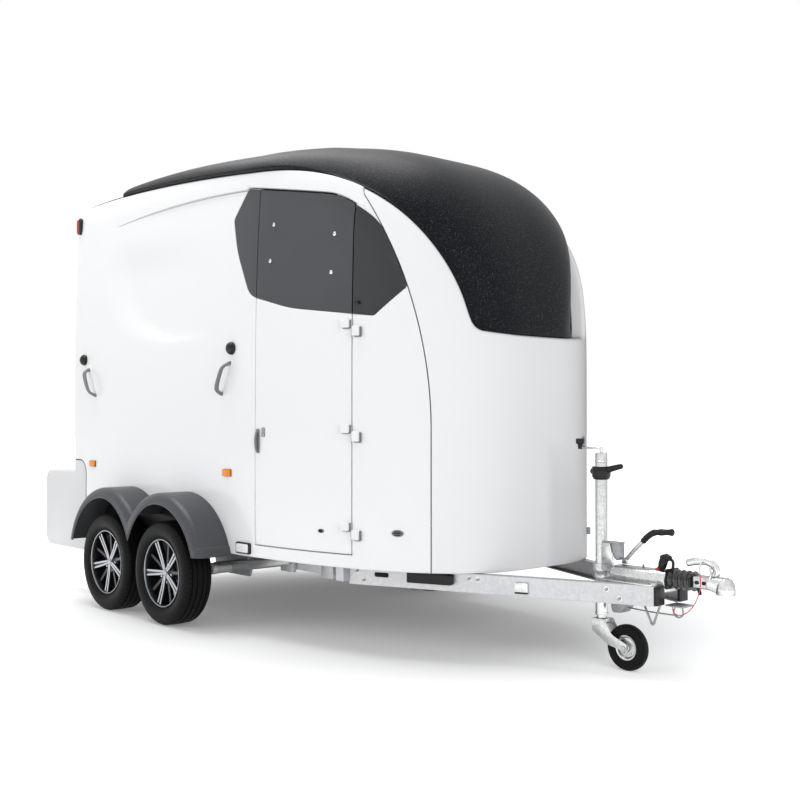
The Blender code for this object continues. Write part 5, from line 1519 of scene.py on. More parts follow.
def tyre_part(centre):
    """The profile turned round the axle, with ring grooves and shoulder cuts pressed into it."""
    sizes = bpy.context.scene.trailer_wheels
    half = tyre_profile()
    profile = np.concatenate([half, half[::-1] * (1, -1, 1, 1)])
    count = sizes.sipes * 5
    angles = np.arange(count) * 2 * math.pi / count
    cut = (np.arange(count) % 5 == 0) * 1.0
    radius = profile[:, 0] - sizes.groove_depth * profile[:, 2] - 0.004 * cut[:, None] * profile[:, 3]
    x, z = radius * np.cos(angles)[:, None], radius * np.sin(angles)[:, None]
    grid = np.stack([x, np.broadcast_to(profile[:, 1], x.shape), z], -1) + np.array(centre)
    return grid.reshape(-1, 3), grid_faces(count, len(profile), True, True)


def build_tyres():
    """Four tyres with ribbed tread, shoulder cuts and ringed side walls."""
    for end, x in AXLES.items():
        for name, side in SIDES.items():
            part = tyre_part((x, WHEEL_MIDDLE_Y * side, TYRE_RADIUS))
            piece(
                f"tyre_tread_{end}_{name}", part, "tyre", [f"tyre_{end}_{name}"],
                body=f"wheel_{end}_{name}", sharp=32,
            )


def dish(radius):
    """Offset of the arms' face from the wheel's middle: hollow at the hub, rising by a power law."""
    return 0.052 + 0.014 * np.clip((radius - 0.03) / 0.16, 0, 1) ** 1.4


def arm(
    angle, start, stop, half_start, half_stop, lift=0.0, depth=0.022, shift_start=0.0, shift_stop=0.0,
    edge=0.002,
):
    """A rim arm: a six-sided section with a narrower face, lofted from hub to lip along the dish."""
    t = np.linspace(0, 1, 14)[:, None]
    radius = start + (stop - start) * t
    half = half_start + (half_stop - half_start) * t
    shift = shift_start + (shift_stop - shift_start) * t
    face = dish(radius) + lift
    across = np.concatenate([-half, -half, -half + edge, half - edge, half, half], 1) + shift
    offset = np.concatenate([face - depth, face - edge, face, face, face - edge, face - depth], 1)
    x = radius * math.cos(angle) - across * math.sin(angle)
    z = radius * math.sin(angle) + across * math.cos(angle)
    grid = np.stack([x, -offset, z], -1)
    faces = [tuple(f) for f in grid_faces(len(grid), 6, False, True)]
    faces += [tuple(range(6)), tuple(range(13 * 6, 14 * 6))]
    return grid.reshape(-1, 3), faces


def build_rims():
    """Rims with five bright double arms between five black ones, a turned lip, bolts and brake drum."""
    sizes = bpy.context.scene.trailer_wheels
    for end, x in AXLES.items():
        turn = sizes.turn_rear if end == "rear" else sizes.turn_front
        for name, side in SIDES.items():
            body = f"wheel_{end}_{name}"
            centre = np.array((x, WHEEL_MIDDLE_Y * side, TYRE_RADIUS))
            flip = np.array((1, 1 if side < 0 else -1, 1))

            def placed(part):
                return np.asarray(part[0]) * flip + centre, part[1]

            steps = np.arange(5) * 2 * math.pi / 5
            black = [arm(turn + a, 0.020, 0.187, 0.017, 0.0215, -0.0015) for a in steps]
            black += [arm(turn + a + math.pi / 5, 0.020, 0.187, 0.011, 0.0095, -0.010) for a in steps]
            plate = lathe(
                [(0.021, -0.052), (0.070, -0.040), (0.074, -0.032), (0.066, -0.014), (0.021, -0.014)],
                sides=60,
            )
            bright = [
                arm(turn + a, 0.010, 0.190, 0.0062, 0.0056, 0.0006, 0.003, s * 0.006, s * 0.0140, 0.0008)
                for a in steps
                for s in (-1, 1)
            ]
            lip = [
                (0.1900, -0.0700), (0.1915, -0.0770), (0.1950, -0.0780), (0.1965, -0.0765),
                (0.1965, -0.0712), (0.1912, -0.0700),
            ]
            bright.append(lathe(lip, sides=96))
            cap = [
                (0.0, -0.0575), (0.019, -0.0570), (0.0225, -0.0550), (0.0235, -0.050), (0.0235, -0.036),
                (0.0, -0.036),
            ]
            bright.append(lathe(cap, sides=40))
            barrel = [
                (0.1900, 0.0700), (0.2022, 0.0712), (0.2022, 0.0775), (0.1960, 0.0775), (0.1845, 0.068),
                (0.1800, 0.040), (0.1790, -0.020), (0.1835, -0.050), (0.1878, -0.0660), (0.1890, -0.0700),
                (0.1895, -0.060), (0.1850, -0.020), (0.1860, 0.040),
            ]
            drum = [
                (0.0215, 0.069), (0.106, 0.069), (0.115, 0.064), (0.115, 0.026), (0.108, 0.021),
                (0.050, 0.019), (0.042, 0.0), (0.0215, 0.0),
            ]
            drum_part = lathe(drum, sides=48)
            bolts = []
            for a in steps + turn + math.pi / 10:
                place = (0.054 * math.cos(a), 0.0, 0.054 * math.sin(a))
                for radius, low, high, count in ((0.0115, -0.046, -0.034, 6), (0.0135, -0.040, -0.034, 20)):
                    bolt = [
                        (0.0, low), (radius - 0.0015, low), (radius, low + 0.0015), (radius, high),
                        (0.0, high),
                    ]
                    bolts.append(moved(lathe(bolt, sides=count), place))
            nodes = [f"rim_{end}_{name}"]
            piece(
                f"rim_barrel_{end}_{name}", placed(lathe(barrel, sides=72)), "rim_black", nodes, body=body
            )
            piece(f"brake_drum_{end}_{name}", placed(drum_part), "steel", body=body)
            piece(f"rim_arms_{end}_{name}", placed(joined(*black, plate)), "rim_black", body=body)
            piece(f"rim_faces_{end}_{name}", placed(joined(*bright)), "machined", body=body, sharp=40)
            piece(f"rim_bolts_{end}_{name}", placed(joined(*bolts)), "bright", body=body)


def build_running_gear():
    """Galvanised axles and swing arms, with bolted end plates under the rails."""
    refinish("zinc", "axle_beam_front", "axle_beam_rear", edge=0.0015)
    refinish("zinc", *[f"swing_arm_{end}_{name}" for end in AXLES for name in SIDES], edge=0.002)
    plates, bolts = [], []
    for x in AXLES.values():
        middle = x + 0.160
        outline = rounded(
            (
                (middle - 0.20, 0.275, 0.02), (middle + 0.15, 0.275, 0.02), (middle + 0.20, 0.435, 0.01),
                (middle - 0.25, 0.435, 0.01),
            ),
            4,
        )
        plates.append(slab(outline, -0.655, -0.6455, "y", 0.0015))
        for shift in (-0.07, 0.07):
            bolts.append(lathe(disc(0.009, -0.665, -0.654), (middle + shift, 0, 0.400), "y", 6))
    piece("axle_plates", both(joined(*plates)), "zinc")
    piece("axle_bolts", both(joined(*bolts)), "bright")


# Chassis and drawbar


def on_beam(along, z, out=0.0):
    """Origin and directions on the near beam's outer face, a distance along it."""
    forward = np.array((0.9298, 0.3682, 0.0))
    normal = np.array((0.3682, -0.9298, 0.0))
    origin = np.array((1.9453, -0.6985, z)) + along * forward + (out - 0.0017) * normal
    return origin, forward, np.array((0.0, 0.0, 1.0)), normal


def hex_bolt(radius, height):
    return lathe(
        [(0.0, 0.0), (radius, 0.0), (radius, height - 0.001), (radius - 0.0015, height), (0.0, height)],
        axis="z", sides=6,
    )


def build_chassis():
    """Rails, cross members and drawbar beams in zinc, with slots, plug block, brackets and bolts."""
    names = ["chassis_rail_left", "chassis_rail_right", "cross_member_front", "cross_member_rear"]
    refinish("zinc", *names, "drawbar_beam_left", "drawbar_beam_right", edge=0.002)
    # Black slabs on the beam's face: painted shade of its slot openings.
    slot = on_axes(
        slab(tall_box(0.040, -0.012, 0.012, 0.009), -0.001, 0.0030, "z", 0.0004), on_beam(0.187, 0.403)
    )
    holder = on_axes(
        slab(tall_box(0.121, -0.028, 0.028, 0.006), 0.0, 0.020, "z", 0.003), on_beam(0.458, 0.404)
    )
    end = on_axes(
        slab(tall_box(0.018, -0.024, 0.024, 0.008), 0.0, 0.030, "z", 0.004), on_beam(0.572, 0.404)
    )
    disc_under = lathe(disc(0.055, 0.325, 0.345), (2.27, -0.42, 0.0), "z", 40)
    piece("beam_slots", both(slot), "frame")
    piece("beam_holder", joined(holder, end, disc_under), "black")
    bracket = on_axes(
        slab(tall_box(0.033, -0.024, 0.024, 0.004), 0.0, 0.012, "z", 0.002), on_beam(0.944, 0.390)
    )
    # A black strip along the bracket's lower edge: painted shadow under it.
    painted_shadow_line = on_axes(
        slab(tall_box(0.033, -0.030, -0.022, 0.003), 0.0, 0.014, "z", 0.001), on_beam(0.944, 0.390)
    )
    piece("beam_bracket", bracket, "bright")
    piece("beam_bracket_strip", painted_shadow_line, "black")
    bolts, washers = [], []
    for along, z in (
        (0.670, 0.414), (0.718, 0.412), (0.045, 0.415), (0.085, 0.370), (1.36, 0.41), (1.42, 0.37)
    ):
        bolts.append(on_axes(hex_bolt(0.0085, 0.009), on_beam(along, z, 0.002)))
        washers.append(
            on_axes(lathe(disc(0.013, 0.0, 0.003, 0.0008), axis="z", sides=24), on_beam(along, z))
        )
    piece("beam_bolts", both(joined(*bolts)), "steel")
    piece("beam_washers", both(joined(*washers)), "bright")
    feet = []
    for x, wide in ((0.93, 0.05), (1.36, 0.06), (1.72, 0.05)):
        feet.append(
            slab(rectangle(x - wide, x + wide, 0.345, 0.437, 0.008, 4), -0.668, -0.6455, "y", 0.002)
        )
    brace = rounded(
        (
            (0.80, 0.300, 0.008), (0.88, 0.300, 0.008), (1.42, 0.395, 0.01), (1.42, 0.425, 0.01),
            (0.80, 0.350, 0.008),
        ),
        4,
    )
    feet.append(slab(brace, -0.700, -0.672, "y", 0.003))
    piece("rail_brackets", both(joined(*feet)), "zinc")


def build_coupling():
    """Overrun housing, clamp, bellows, ball coupling with its handle, handbrake lever and linkage."""
    section = rounded(
        (
            (-0.0600, 0.402, 0.006), (0.0600, 0.402, 0.006), (0.0600, 0.462, 0.02), (0.040, 0.500, 0.026),
            (-0.040, 0.500, 0.026), (-0.0600, 0.462, 0.02),
        ),
        6,
    )
    housing = slab(section, 3.121, 3.4295, "x", 0.006)
    plate = corner_slab(
        ((3.121, -0.144, 0.012), (3.419, -0.144, 0.05), (3.419, 0.144, 0.05), (3.121, 0.144, 0.012)),
        5, 0.4389, 0.4465, "z", 0.002,
    )
    collar = [
        (0.0312, 0.430), (0.0312, 0.498), (0.0400, 0.498), (0.0425, 0.494), (0.0425, 0.434),
        (0.0400, 0.430),
    ]
    clamp = lathe(collar, (JOCKEY_X, 0, 0), "z", 48)
    web = box((3.066, -0.018, 0.436), (3.126, 0.018, 0.492), 0.003)
    piece("overrun_body", joined(housing, plate, clamp, web), "bright", ["overrun_housing"], sharp=35)
    corners = ((3.062, 0.470, 0.004), (3.142, 0.470, 0.004), (3.112, 0.606, 0.006), (3.062, 0.606, 0.006))
    piece("clamp_gusset", corner_slab(corners, 4, -0.043, -0.038, "y", 0.0012), "bright")
    corners = (
        (3.104, 0.606, 0.004), (3.128, 0.535, 0.01), (3.150, 0.520, 0.01), (3.164, 0.540, 0.01),
        (3.164, 0.606, 0.004),
    )
    back = corner_slab(corners, 4, -0.036, 0.004, "y", 0.002)
    face = slab(rectangle(3.072, 3.166, 0.602, 0.610, 0.003, 3), -0.043, 0.006, "y", 0.001)
    piece("clamp_box", joined(back, face), "steel")
    bolts = [
        moved(lathe([(0, 0), (0.008, 0), (0.008, 0.006), (0.0, 0.007)], sides=6), (x, -0.067, 0.437))
        for x in (3.225, 3.245)
    ]
    bolts += [moved(hex_bolt(0.008, 0.008), (x, y, 0.446)) for x in (3.15, 3.39) for y in (-0.115, 0.115)]
    bolts += [moved(hex_bolt(0.006, 0.016), (3.275, 0.0, 0.499))]
    piece("overrun_bolts", joined(*bolts), "steel")

    t = np.linspace(0, 1, 81)
    fold = 0.0395 + 0.0065 * np.cos(2 * math.pi * 4 * t)
    outline = list(zip(fold, 3.4365 + 0.119 * t))
    piece(
        "bellows_folds",
        lathe(outline + [(0.0258, 3.5555), (0.0258, 3.4365)], (0, 0, COUPLING_Z), "x", 48),
        "bellows", ["bellows"], sharp=50,
    )
    caps = []
    for side in (-1, 1):
        caps.append(
            slab(tall_box(0.034, 0.350, 0.437, 0.006) + (side * 0.094, 0.0), 3.4205, 3.4345, "x", 0.002)
        )
    caps.append(slab(tall_box(0.052, 0.418, 0.512, 0.01), 3.4302, 3.4362, "x", 0.0015))
    piece("beam_end_caps", joined(*caps), "black")

    head = rounded(
        (
            (3.5565, 0.438, 0.012), (3.640, 0.436, 0.03), (3.690, 0.424, 0.02), (3.730, 0.424, 0.012),
            (3.748, 0.455, 0.02), (3.715, 0.496, 0.03), (3.650, 0.494, 0.03), (3.5565, 0.494, 0.012),
        ),
        6,
    )
    head_part = slab(head, -0.033, 0.033, "y", 0.011)
    neck = lathe(
        [(0.0, 3.4312), (0.0248, 3.4312), (0.0248, 3.590), (0.0, 3.590)], (0, 0, COUPLING_Z), "x", 40
    )
    bowl = [
        (0.0262, 0.4205), (0.0390, 0.4205), (0.0425, 0.424), (0.0428, 0.445), (0.0395, 0.468),
        (0.028, 0.488), (0.012, 0.4975), (0.0, 0.499), (0.0, 0.471), (0.0262, 0.469),
    ]
    cup = lathe(bowl, (3.712, 0, 0), "z", 56)
    piece("ball_coupling", joined(head_part, neck, cup), "bright", ["coupling_head"], sharp=45)
    route = curve_through(
        [
            (3.655, 0, 0.497), (3.668, 0, 0.520), (3.650, 0, 0.548), (3.610, 0, 0.560), (3.560, 0, 0.556),
            (3.518, 0, 0.545),
        ],
        40,
    )
    handle = tube(route, np.linspace(0.0190, 0.0165, 40), 24, 0.55, (0, 1, 0))
    side_arms = [
        bent(
            [(3.645, s * 0.030, 0.480), (3.655, s * 0.030, 0.505), (3.648, s * 0.022, 0.540)],
            16, 0.005, 12,
        )
        for s in (-1, 1)
    ]
    clip = tube([(3.600, -0.012, 0.556), (3.600, -0.024, 0.548), (3.600, -0.030, 0.532)], 0.004, 12)
    piece("coupling_handle", joined(handle, *side_arms, clip), "bright")
    marks = [
        moved(lathe([(0, 0), (0.009, 0), (0.009, 0.004), (0, 0.0055)], sides=24), (x, -0.0375, 0.466))
        for x in (3.585, 3.622)
    ]
    nub = tube([(3.588, -0.024, 0.440), (3.594, -0.024, 0.424), (3.597, -0.024, 0.414)], 0.0085, 14)
    piece("coupling_fasteners", joined(*marks, nub), "black")

    lever_y = 0.0405
    rod_route = curve_through(
        [
            (3.130, lever_y, 0.507), (3.160, lever_y, 0.535), (3.200, lever_y, 0.576),
            (3.256, lever_y, 0.627),
        ],
        24,
    )
    foot = box((3.126, lever_y - 0.009, 0.5005), (3.156, lever_y + 0.009, 0.530), 0.003)
    piece("handbrake_rod", joined(tube(rod_route, 0.0100, 20), foot), "bright", ["handbrake_lever"])
    grip_route = curve_through(
        [
            (3.246, lever_y, 0.618), (3.272, lever_y, 0.642), (3.305, lever_y, 0.662),
            (3.350, lever_y, 0.668), (3.408, lever_y, 0.672),
        ],
        40,
    )
    along = np.linspace(0, 1, 40)
    swell = 0.0150 + 0.0012 * np.cos(2 * math.pi * 4 * along) * (along > 0.45) + 0.001 * (along > 0.96)
    piece("handbrake_grip", tube(grip_route, swell, 24), "black")

    plug = tube(
        [(3.392, -0.022, 0.508), (3.398, -0.022, 0.530), (3.406, -0.022, 0.552)],
        [0.017, 0.021, 0.021], 24,
    )
    lid = tube(
        [(3.395, -0.022, 0.557), (3.420, -0.022, 0.562), (3.440, -0.022, 0.560)],
        [0.016, 0.019, 0.012], 20,
    )
    stem = bent(
        [(3.436, -0.020, 0.558), (3.452, -0.020, 0.545), (3.452, -0.020, 0.520), (3.444, -0.018, 0.500)],
        20, 0.007, 14,
    )
    piece("parked_plug", joined(plug, lid, stem), "black")
    flag = corner_slab(
        ((3.352, 0.499, 0.002), (3.386, 0.499, 0.002), (3.380, 0.522, 0.003)),
        3, -0.026, -0.018, "y", 0.001,
    )
    piece("brake_marker", flag, "cable")

    pull = [tube([(3.19, 0.0, 0.300), (3.30, 0.0, 0.296), (3.46, 0.0, 0.297)], 0.0035, 12)]
    for a, b in (
        ((3.290, -0.028, 0.347), (3.340, -0.028, 0.250)), ((3.392, -0.028, 0.347), (3.352, -0.028, 0.250))
    ):
        pull.append(tube([a, ((a[0] + b[0]) / 2, -0.028, 0.299), b], 0.0055, 12))
    pull.append(
        tube([(3.335, -0.028, 0.252), (3.346, -0.028, 0.243), (3.357, -0.028, 0.252)], 0.0055, 12)
    )
    pull.append(
        bent(
            [
                (3.470, -0.03, 0.345), (3.462, -0.03, 0.310), (3.488, -0.03, 0.296),
                (3.512, -0.03, 0.312), (3.508, -0.03, 0.345),
            ],
            24, 0.004, 12,
        )
    )
    pull.append(box((3.452, -0.045, 0.342), (3.520, 0.045, 0.350), 0.002))
    pull.append(box((3.425, -0.045, 0.342), (3.460, 0.045, 0.349), 0.002))
    piece("brake_linkage", joined(*pull), "steel")
    under = corner_slab(
        (
            (3.112, 0.302, 0.01), (3.120, 0.272, 0.015), (3.172, 0.276, 0.012), (3.196, 0.305, 0.01),
            (3.196, 0.346, 0.004), (3.112, 0.346, 0.004),
        ),
        5, -0.036, 0.036, "y", 0.004,
    )
    piece("brake_equaliser", under, "steel")


def build_jockey_wheel():
    """Jockey tube with its crank and clamp grip, forked leg, and a solid rubber wheel on a pressed hub."""
    outer = [
        (0.0262, 0.246), (0.0298, 0.246), (0.0298, 1.028), (0.0275, 1.034), (0.0, 1.0345), (0.0, 1.000),
        (0.0262, 1.000),
    ]
    tube_part = lathe(outer, (JOCKEY_X, 0, 0), "z", 56)
    seam = [lathe(disc(0.0315, z, z + 0.010), (JOCKEY_X, 0, 0), "z", 48) for z in (0.250, 0.988)]
    stem = lathe(disc(0.008, 1.034, 1.062), (JOCKEY_X, 0, 0), "z", 24)
    crank = tube([(JOCKEY_X + 0.006, 0, 1.056), (2.960, 0, 1.057), (2.905, 0, 1.058)], 0.0055, 16)
    screw = lathe(disc(0.010, 0.0, 0.012), (JOCKEY_X, 0, 1.052), "z", 6)
    piece(
        "jockey_column", joined(tube_part, *seam, stem, crank, screw), "bright", ["jockey_tube"], sharp=40
    )
    knob = lathe(
        [
            (0.0, 1.050), (0.011, 1.050), (0.012, 1.072), (0.0215, 1.078), (0.0225, 1.098),
            (0.018, 1.103), (0.0, 1.103),
        ],
        (2.900, 0, 0), "z", 32,
    )
    piece("crank_knob", knob, "black")
    ring = lathe(
        [
            (0.0302, 0.905), (0.036, 0.905), (0.0445, 0.918), (0.0470, 0.950), (0.0440, 0.968),
            (0.0302, 0.968),
        ],
        (JOCKEY_X, 0, 0), "z", 48,
    )
    reach = bent(
        [(3.050, 0.0, 0.950), (3.085, 0.0, 0.957), (3.120, 0.0, 0.966), (3.150, 0.0, 0.972)],
        24, np.linspace(0.017, 0.0125, 24), 24, 1.0,
    )
    back = tube([(3.010, 0, 0.940), (2.992, 0, 0.942), (2.976, 0, 0.945)], 0.016, 20)
    piece("clamp_grip", joined(ring, reach, back), "black", sharp=50)

    top = 0.2447
    leg = lathe(
        [(0.0, top - 0.034), (0.0238, top - 0.034), (0.0238, top), (0.0, top)], (JOCKEY_X, 0, 0), "z", 40
    )
    yoke = slab(
        rectangle(JOCKEY_X - 0.034, JOCKEY_X + 0.034, -0.035, 0.035, 0.012, 5),
        top - 0.039, top - 0.013, "z", 0.003,
    )
    x, z = JOCKEY_WHEEL[0], JOCKEY_WHEEL[2]
    cheek = rounded(
        (
            (JOCKEY_X - 0.039, top - 0.013, 0.006), (JOCKEY_X - 0.030, top - 0.075, 0.02),
            (JOCKEY_X + 0.060, z + 0.005, 0.05), (x + 0.018, z - 0.020, 0.016),
            (x + 0.018, z + 0.020, 0.016), (JOCKEY_X + 0.085, z + 0.055, 0.05),
            (JOCKEY_X + 0.045, top - 0.013, 0.006),
        ),
        6,
    )
    cheeks = [slab(cheek, *sorted((s * 0.0312, s * 0.0358)), "y", 0.0012) for s in (-1, 1)]
    axle = lathe([(0.0, -0.0385), (0.0078, -0.0385), (0.0078, 0.0385), (0.0, 0.0385)], (x, 0, z), "y", 24)
    nuts = [lathe(disc(0.012, *sorted((s * 0.0355, s * 0.0425))), (x, 0, z), "y", 6) for s in (-1, 1)]
    piece(
        "jockey_fork", joined(leg, yoke, *cheeks, axle, *nuts), "bright", ["jockey_leg"],
        body="jockey_leg", sharp=40,
    )

    rim_half = curve_through(
        [
            (0.060, 0.0160), (0.066, 0.0200), (0.080, 0.0235), (0.096, 0.0240), (0.105, 0.0195),
            (0.1095, 0.0100), (0.1099, 0.0),
        ],
        26,
    )
    profile = [(r, -w) for r, w in rim_half] + [(r, w) for r, w in rim_half[::-1][1:]]
    piece(
        "jockey_tyre", lathe(profile, (x, 0, z), "y", 72), "tyre", ["jockey_wheel"], body="jockey_wheel",
        sharp=40,
    )
    hub_half = [
        (0.0087, 0.0220), (0.0180, 0.0220), (0.0200, 0.0205), (0.0220, 0.0105), (0.0460, 0.0085),
        (0.0520, 0.0165), (0.0595, 0.0180), (0.0605, 0.0150),
    ]
    profile = [(r, -w) for r, w in hub_half] + [(r, w) for r, w in hub_half[::-1]]
    hub = lathe(profile, (x, 0, z), "y", 56)
    studs = []
    for k in range(5):
        a = k * 2 * math.pi / 5 + 0.4
        for s in (-1, 1):
            place = (x + 0.034 * math.cos(a), s * 0.0105, z + 0.034 * math.sin(a))
            studs.append(moved(lathe(disc(0.0045, -0.003, 0.003, 0.001), sides=14), place))
    piece("jockey_hub", joined(hub, *studs), "bright", body="jockey_wheel", sharp=40)


# Fittings


def wall_slab(x, z, half, low, high, corner, bottom, top, edge, side=-1, turn=0.0):
    """A rounded plate on the side skin, centred at x, z, from bottom to top along the skin's normal."""
    outline = rectangle(-half, half, low, high, corner, 5) @ np.array(
        ((math.cos(turn), -math.sin(turn)), (math.sin(turn), math.cos(turn)))
    )
    return on_axes(slab(outline, bottom, top, "z", edge), on_wall(x, z, side))


def wall_lathe(profile, x, z):
    return on_axes(lathe(profile, axis="z", sides=36), on_wall(x, z))


def grab_handle(top, foot):
    """A bowed flat grip between two wall points, thickest at its feet and 52 mm off the wall midway."""
    shares = np.array([0.0, 0.03, 0.16, 0.5, 0.84, 0.97, 1.0])
    outs = np.array([0.000, 0.018, 0.046, 0.052, 0.046, 0.018, 0.000])
    route = []
    for share, out in zip(shares, outs):
        origin, _, _, normal = on_wall(*(np.array(top) + share * (np.array(foot) - top)))
        route.append(origin + out * normal)
    across = np.abs(np.linspace(-1, 1, 40))
    radius = bpy.context.scene.trailer_fittings.grip_radius * (1 + 0.45 * across**5)
    return bent(route, 40, radius, 20, 0.72, (0, 1, 0))


HANDLES = (((-0.592, 1.527), (-0.500, 1.352)), ((1.110, 1.512), (1.028, 1.340)))
KNOBS = ((-0.665, 1.595), (1.125, 1.595))
MARKERS = ((-0.536, 0.894), (1.085, 0.894))
STUDS = ((1.483, 2.251), (1.936, 2.153), (1.464, 2.055), (1.919, 1.956))
VENTS = ((1.862, 0.621, 0.62, "entry_door"), (2.300, 0.632, 1.0, "trailer"))


def build_grab_handles():
    """Grey bowed grips on slim pale plates, and domed buffer knobs, on the right side."""
    sizes = bpy.context.scene.trailer_fittings
    plates = []
    for (top_x, top_z), (foot_x, foot_z) in HANDLES:
        lean = math.atan2(top_x - foot_x, top_z - foot_z)
        half = math.hypot(top_x - foot_x, top_z - foot_z) / 2 + 0.026
        middle = ((top_x + foot_x) / 2, (top_z + foot_z) / 2)
        plates.append(wall_slab(*middle, 0.019, -half, half, 0.018, -0.002, 0.004, 0.0015, turn=lean))
    grips = [grab_handle(*ends) for ends in HANDLES]
    knobs = [wall_lathe(dome(sizes.knob_radius, 0.026, 0.008, 12), x, z) for x, z in KNOBS]
    piece("grab_grips", joined(*grips), "grip", ["grab_handle_rear", "grab_handle_front"])
    piece("grab_plates", joined(*plates), "rail")
    piece("buffer_knobs", joined(*knobs), "black", ["buffer_knob_rear", "buffer_knob_front"])


def build_marker_lamps():
    """Amber side markers on black bases, and a clear front marker in a black frame at the skirt."""
    bases, ambers, frames, clears = [], [], [], []
    for side in (-1, 1):
        for x, z in MARKERS:
            bases.append(wall_slab(x, z, 0.039, -0.021, 0.021, 0.005, -0.002, 0.004, 0.0012, side))
            ambers.append(wall_slab(x, z, 0.038, -0.020, 0.020, 0.006, 0.003, 0.014, 0.003, side))
        frames.append(wall_slab(1.250, 0.484, 0.066, -0.032, 0.032, 0.012, -0.002, 0.012, 0.003, side))
        clears.append(wall_slab(1.250, 0.484, 0.054, -0.024, 0.024, 0.010, 0.008, 0.019, 0.005, side))
    piece("marker_bases", joined(*bases), "black")
    piece("marker_lenses", joined(*ambers), "amber")
    piece("front_marker_frames", joined(*frames), "black")
    piece("front_marker_lenses", joined(*clears), "clear")


def build_vents_and_studs():
    """Oval vents with three slots, and the small studs that hold the panes."""
    sizes = bpy.context.scene.trailer_fittings
    for k, (x, z, share, body) in enumerate(VENTS):
        t = np.arange(40) * 2 * math.pi / 40
        oval = share * np.stack([0.032 * np.cos(t), 0.017 * np.sin(t)], 1)
        part = on_axes(slab(oval, -0.002, 0.006, "z", 0.003), on_wall(x, z))
        slots = []
        # Black bars over the vent: painted shade of its slot openings.
        for shift in (-0.008, 0.0, 0.008):
            half = share * (0.023 - abs(shift) * 0.8)
            slots.append(
                wall_slab(x, z + share * shift, half, -0.0026, 0.0026, 0.002, 0.005, 0.0068, 0.0005)
            )
        piece(f"vent_{k}", part, "grip", body=body)
        piece(f"vent_slots_{k}", joined(*slots), "frame", body=body)
    studs = [wall_lathe(dome(sizes.stud_radius, 0.004, 0.003, 8), x, z) for x, z in STUDS]
    piece("pane_studs", joined(*studs), "bright", body="entry_door")
    catch = wall_slab(2.085, 1.790, 0.013, -0.008, 0.008, 0.004, -0.001, 0.012, 0.003)
    piece("pane_catch", catch, "black")


def build_door_furniture():
    """Hinge blocks half on the door and half on the wall, the door's bar handle and its lock."""
    for k, z in enumerate(DOOR_HINGE_Z):
        door_block = wall_slab(2.023, z + 0.020, 0.024, -0.023, 0.023, 0.006, 0.002, 0.028, 0.005)
        wall_block = wall_slab(2.086, z - 0.020, 0.020, -0.026, 0.026, 0.006, 0.002, 0.028, 0.005)
        # Grey plates a little larger and lower than the blocks: painted shadow along their lower sides.
        door_block_shadow = wall_slab(2.025, z + 0.017, 0.024, -0.024, 0.022, 0.006, -0.004, 0.014, 0.004)
        wall_block_shadow = wall_slab(2.090, z - 0.024, 0.021, -0.027, 0.025, 0.006, -0.004, 0.014, 0.004)
        piece(f"hinge_leaf_door_{k}", door_block, "rail", body="entry_door")
        piece(f"hinge_leaf_wall_{k}", wall_block, "rail")
        piece(f"hinge_foot_door_{k}", door_block_shadow, "grip", body="entry_door")
        piece(f"hinge_foot_wall_{k}", wall_block_shadow, "grip")
    base = wall_slab(1.378, 1.078, 0.012, -0.066, 0.066, 0.008, -0.002, 0.008, 0.002)
    origin = [on_wall(1.378, z) for z in (1.125, 1.105, 1.075, 1.045, 1.025)]
    outs = (0.010, 0.017, 0.020, 0.017, 0.010)
    bar = bent([o[0] + out * o[3] for o, out in zip(origin, outs)], 26, 0.0080, 18, 0.8)
    piece("door_bar", joined(base, bar), "grip", ["door_handle"], body="entry_door")
    lock = joined(
        wall_slab(1.424, 1.126, 0.012, -0.026, 0.026, 0.009, -0.002, 0.007, 0.002),
        wall_lathe(disc(0.008, 0.0, 0.011), 1.424, 1.126),
    )
    piece("door_lock", lock, "steel", body="entry_door")


def build_nose_fittings():
    """A catch and a small cable bracket on the far side of the nose."""
    far = 2 * NOSE_START_X + math.pi
    axes = on_nose(far - (NOSE_START_X + math.radians(76)), 1.083)
    catch = on_axes(slab(tall_box(0.012, -0.030, 0.022, 0.005), -0.002, 0.016, "z", 0.004), axes)
    axes = on_nose(far - (NOSE_START_X + math.radians(66)), 0.582)
    hook = on_axes(slab(tall_box(0.014, -0.020, 0.020, 0.005), -0.002, 0.020, "z", 0.004), axes)
    piece("nose_catch", joined(catch, hook), "steel")


def build_interior():
    """Coated floor boards under a ribbed rubber mat, inset from the walls."""
    refinish("deck", "floor", edge=0.0)
    angles = np.linspace(0, math.pi / 2, 24)
    half, tip, start = 0.80, 1.36, 1.18
    front = np.stack(
        [start + tip * np.sin(angles), -half * np.abs(np.cos(angles)) ** (2 / NOSE_POWER)], 1
    )
    outline = np.concatenate([[(-0.74, -half)], front, front[::-1][1:] * (1, -1), [(-0.74, half)]])
    mat = slab(outline, 0.4625, 0.4680, "z", 0.001)
    ribs = [
        box((x, -0.74, 0.467), (x + 0.012, 0.74, 0.4705), 0.001) for x in np.arange(-0.66, 1.7, 0.075)
    ]
    piece("floor_mat", joined(mat, *ribs), "mat")


# Stage


def camera_white(nodes):
    """1 for camera, glossy and transmission rays, 0 for the rest."""
    rays = nodes.new("ShaderNodeLightPath").outputs
    seen = math_node(nodes, "MAXIMUM", rays["Is Camera Ray"], rays["Is Glossy Ray"])
    return math_node(nodes, "MAXIMUM", seen, rays["Is Transmission Ray"])


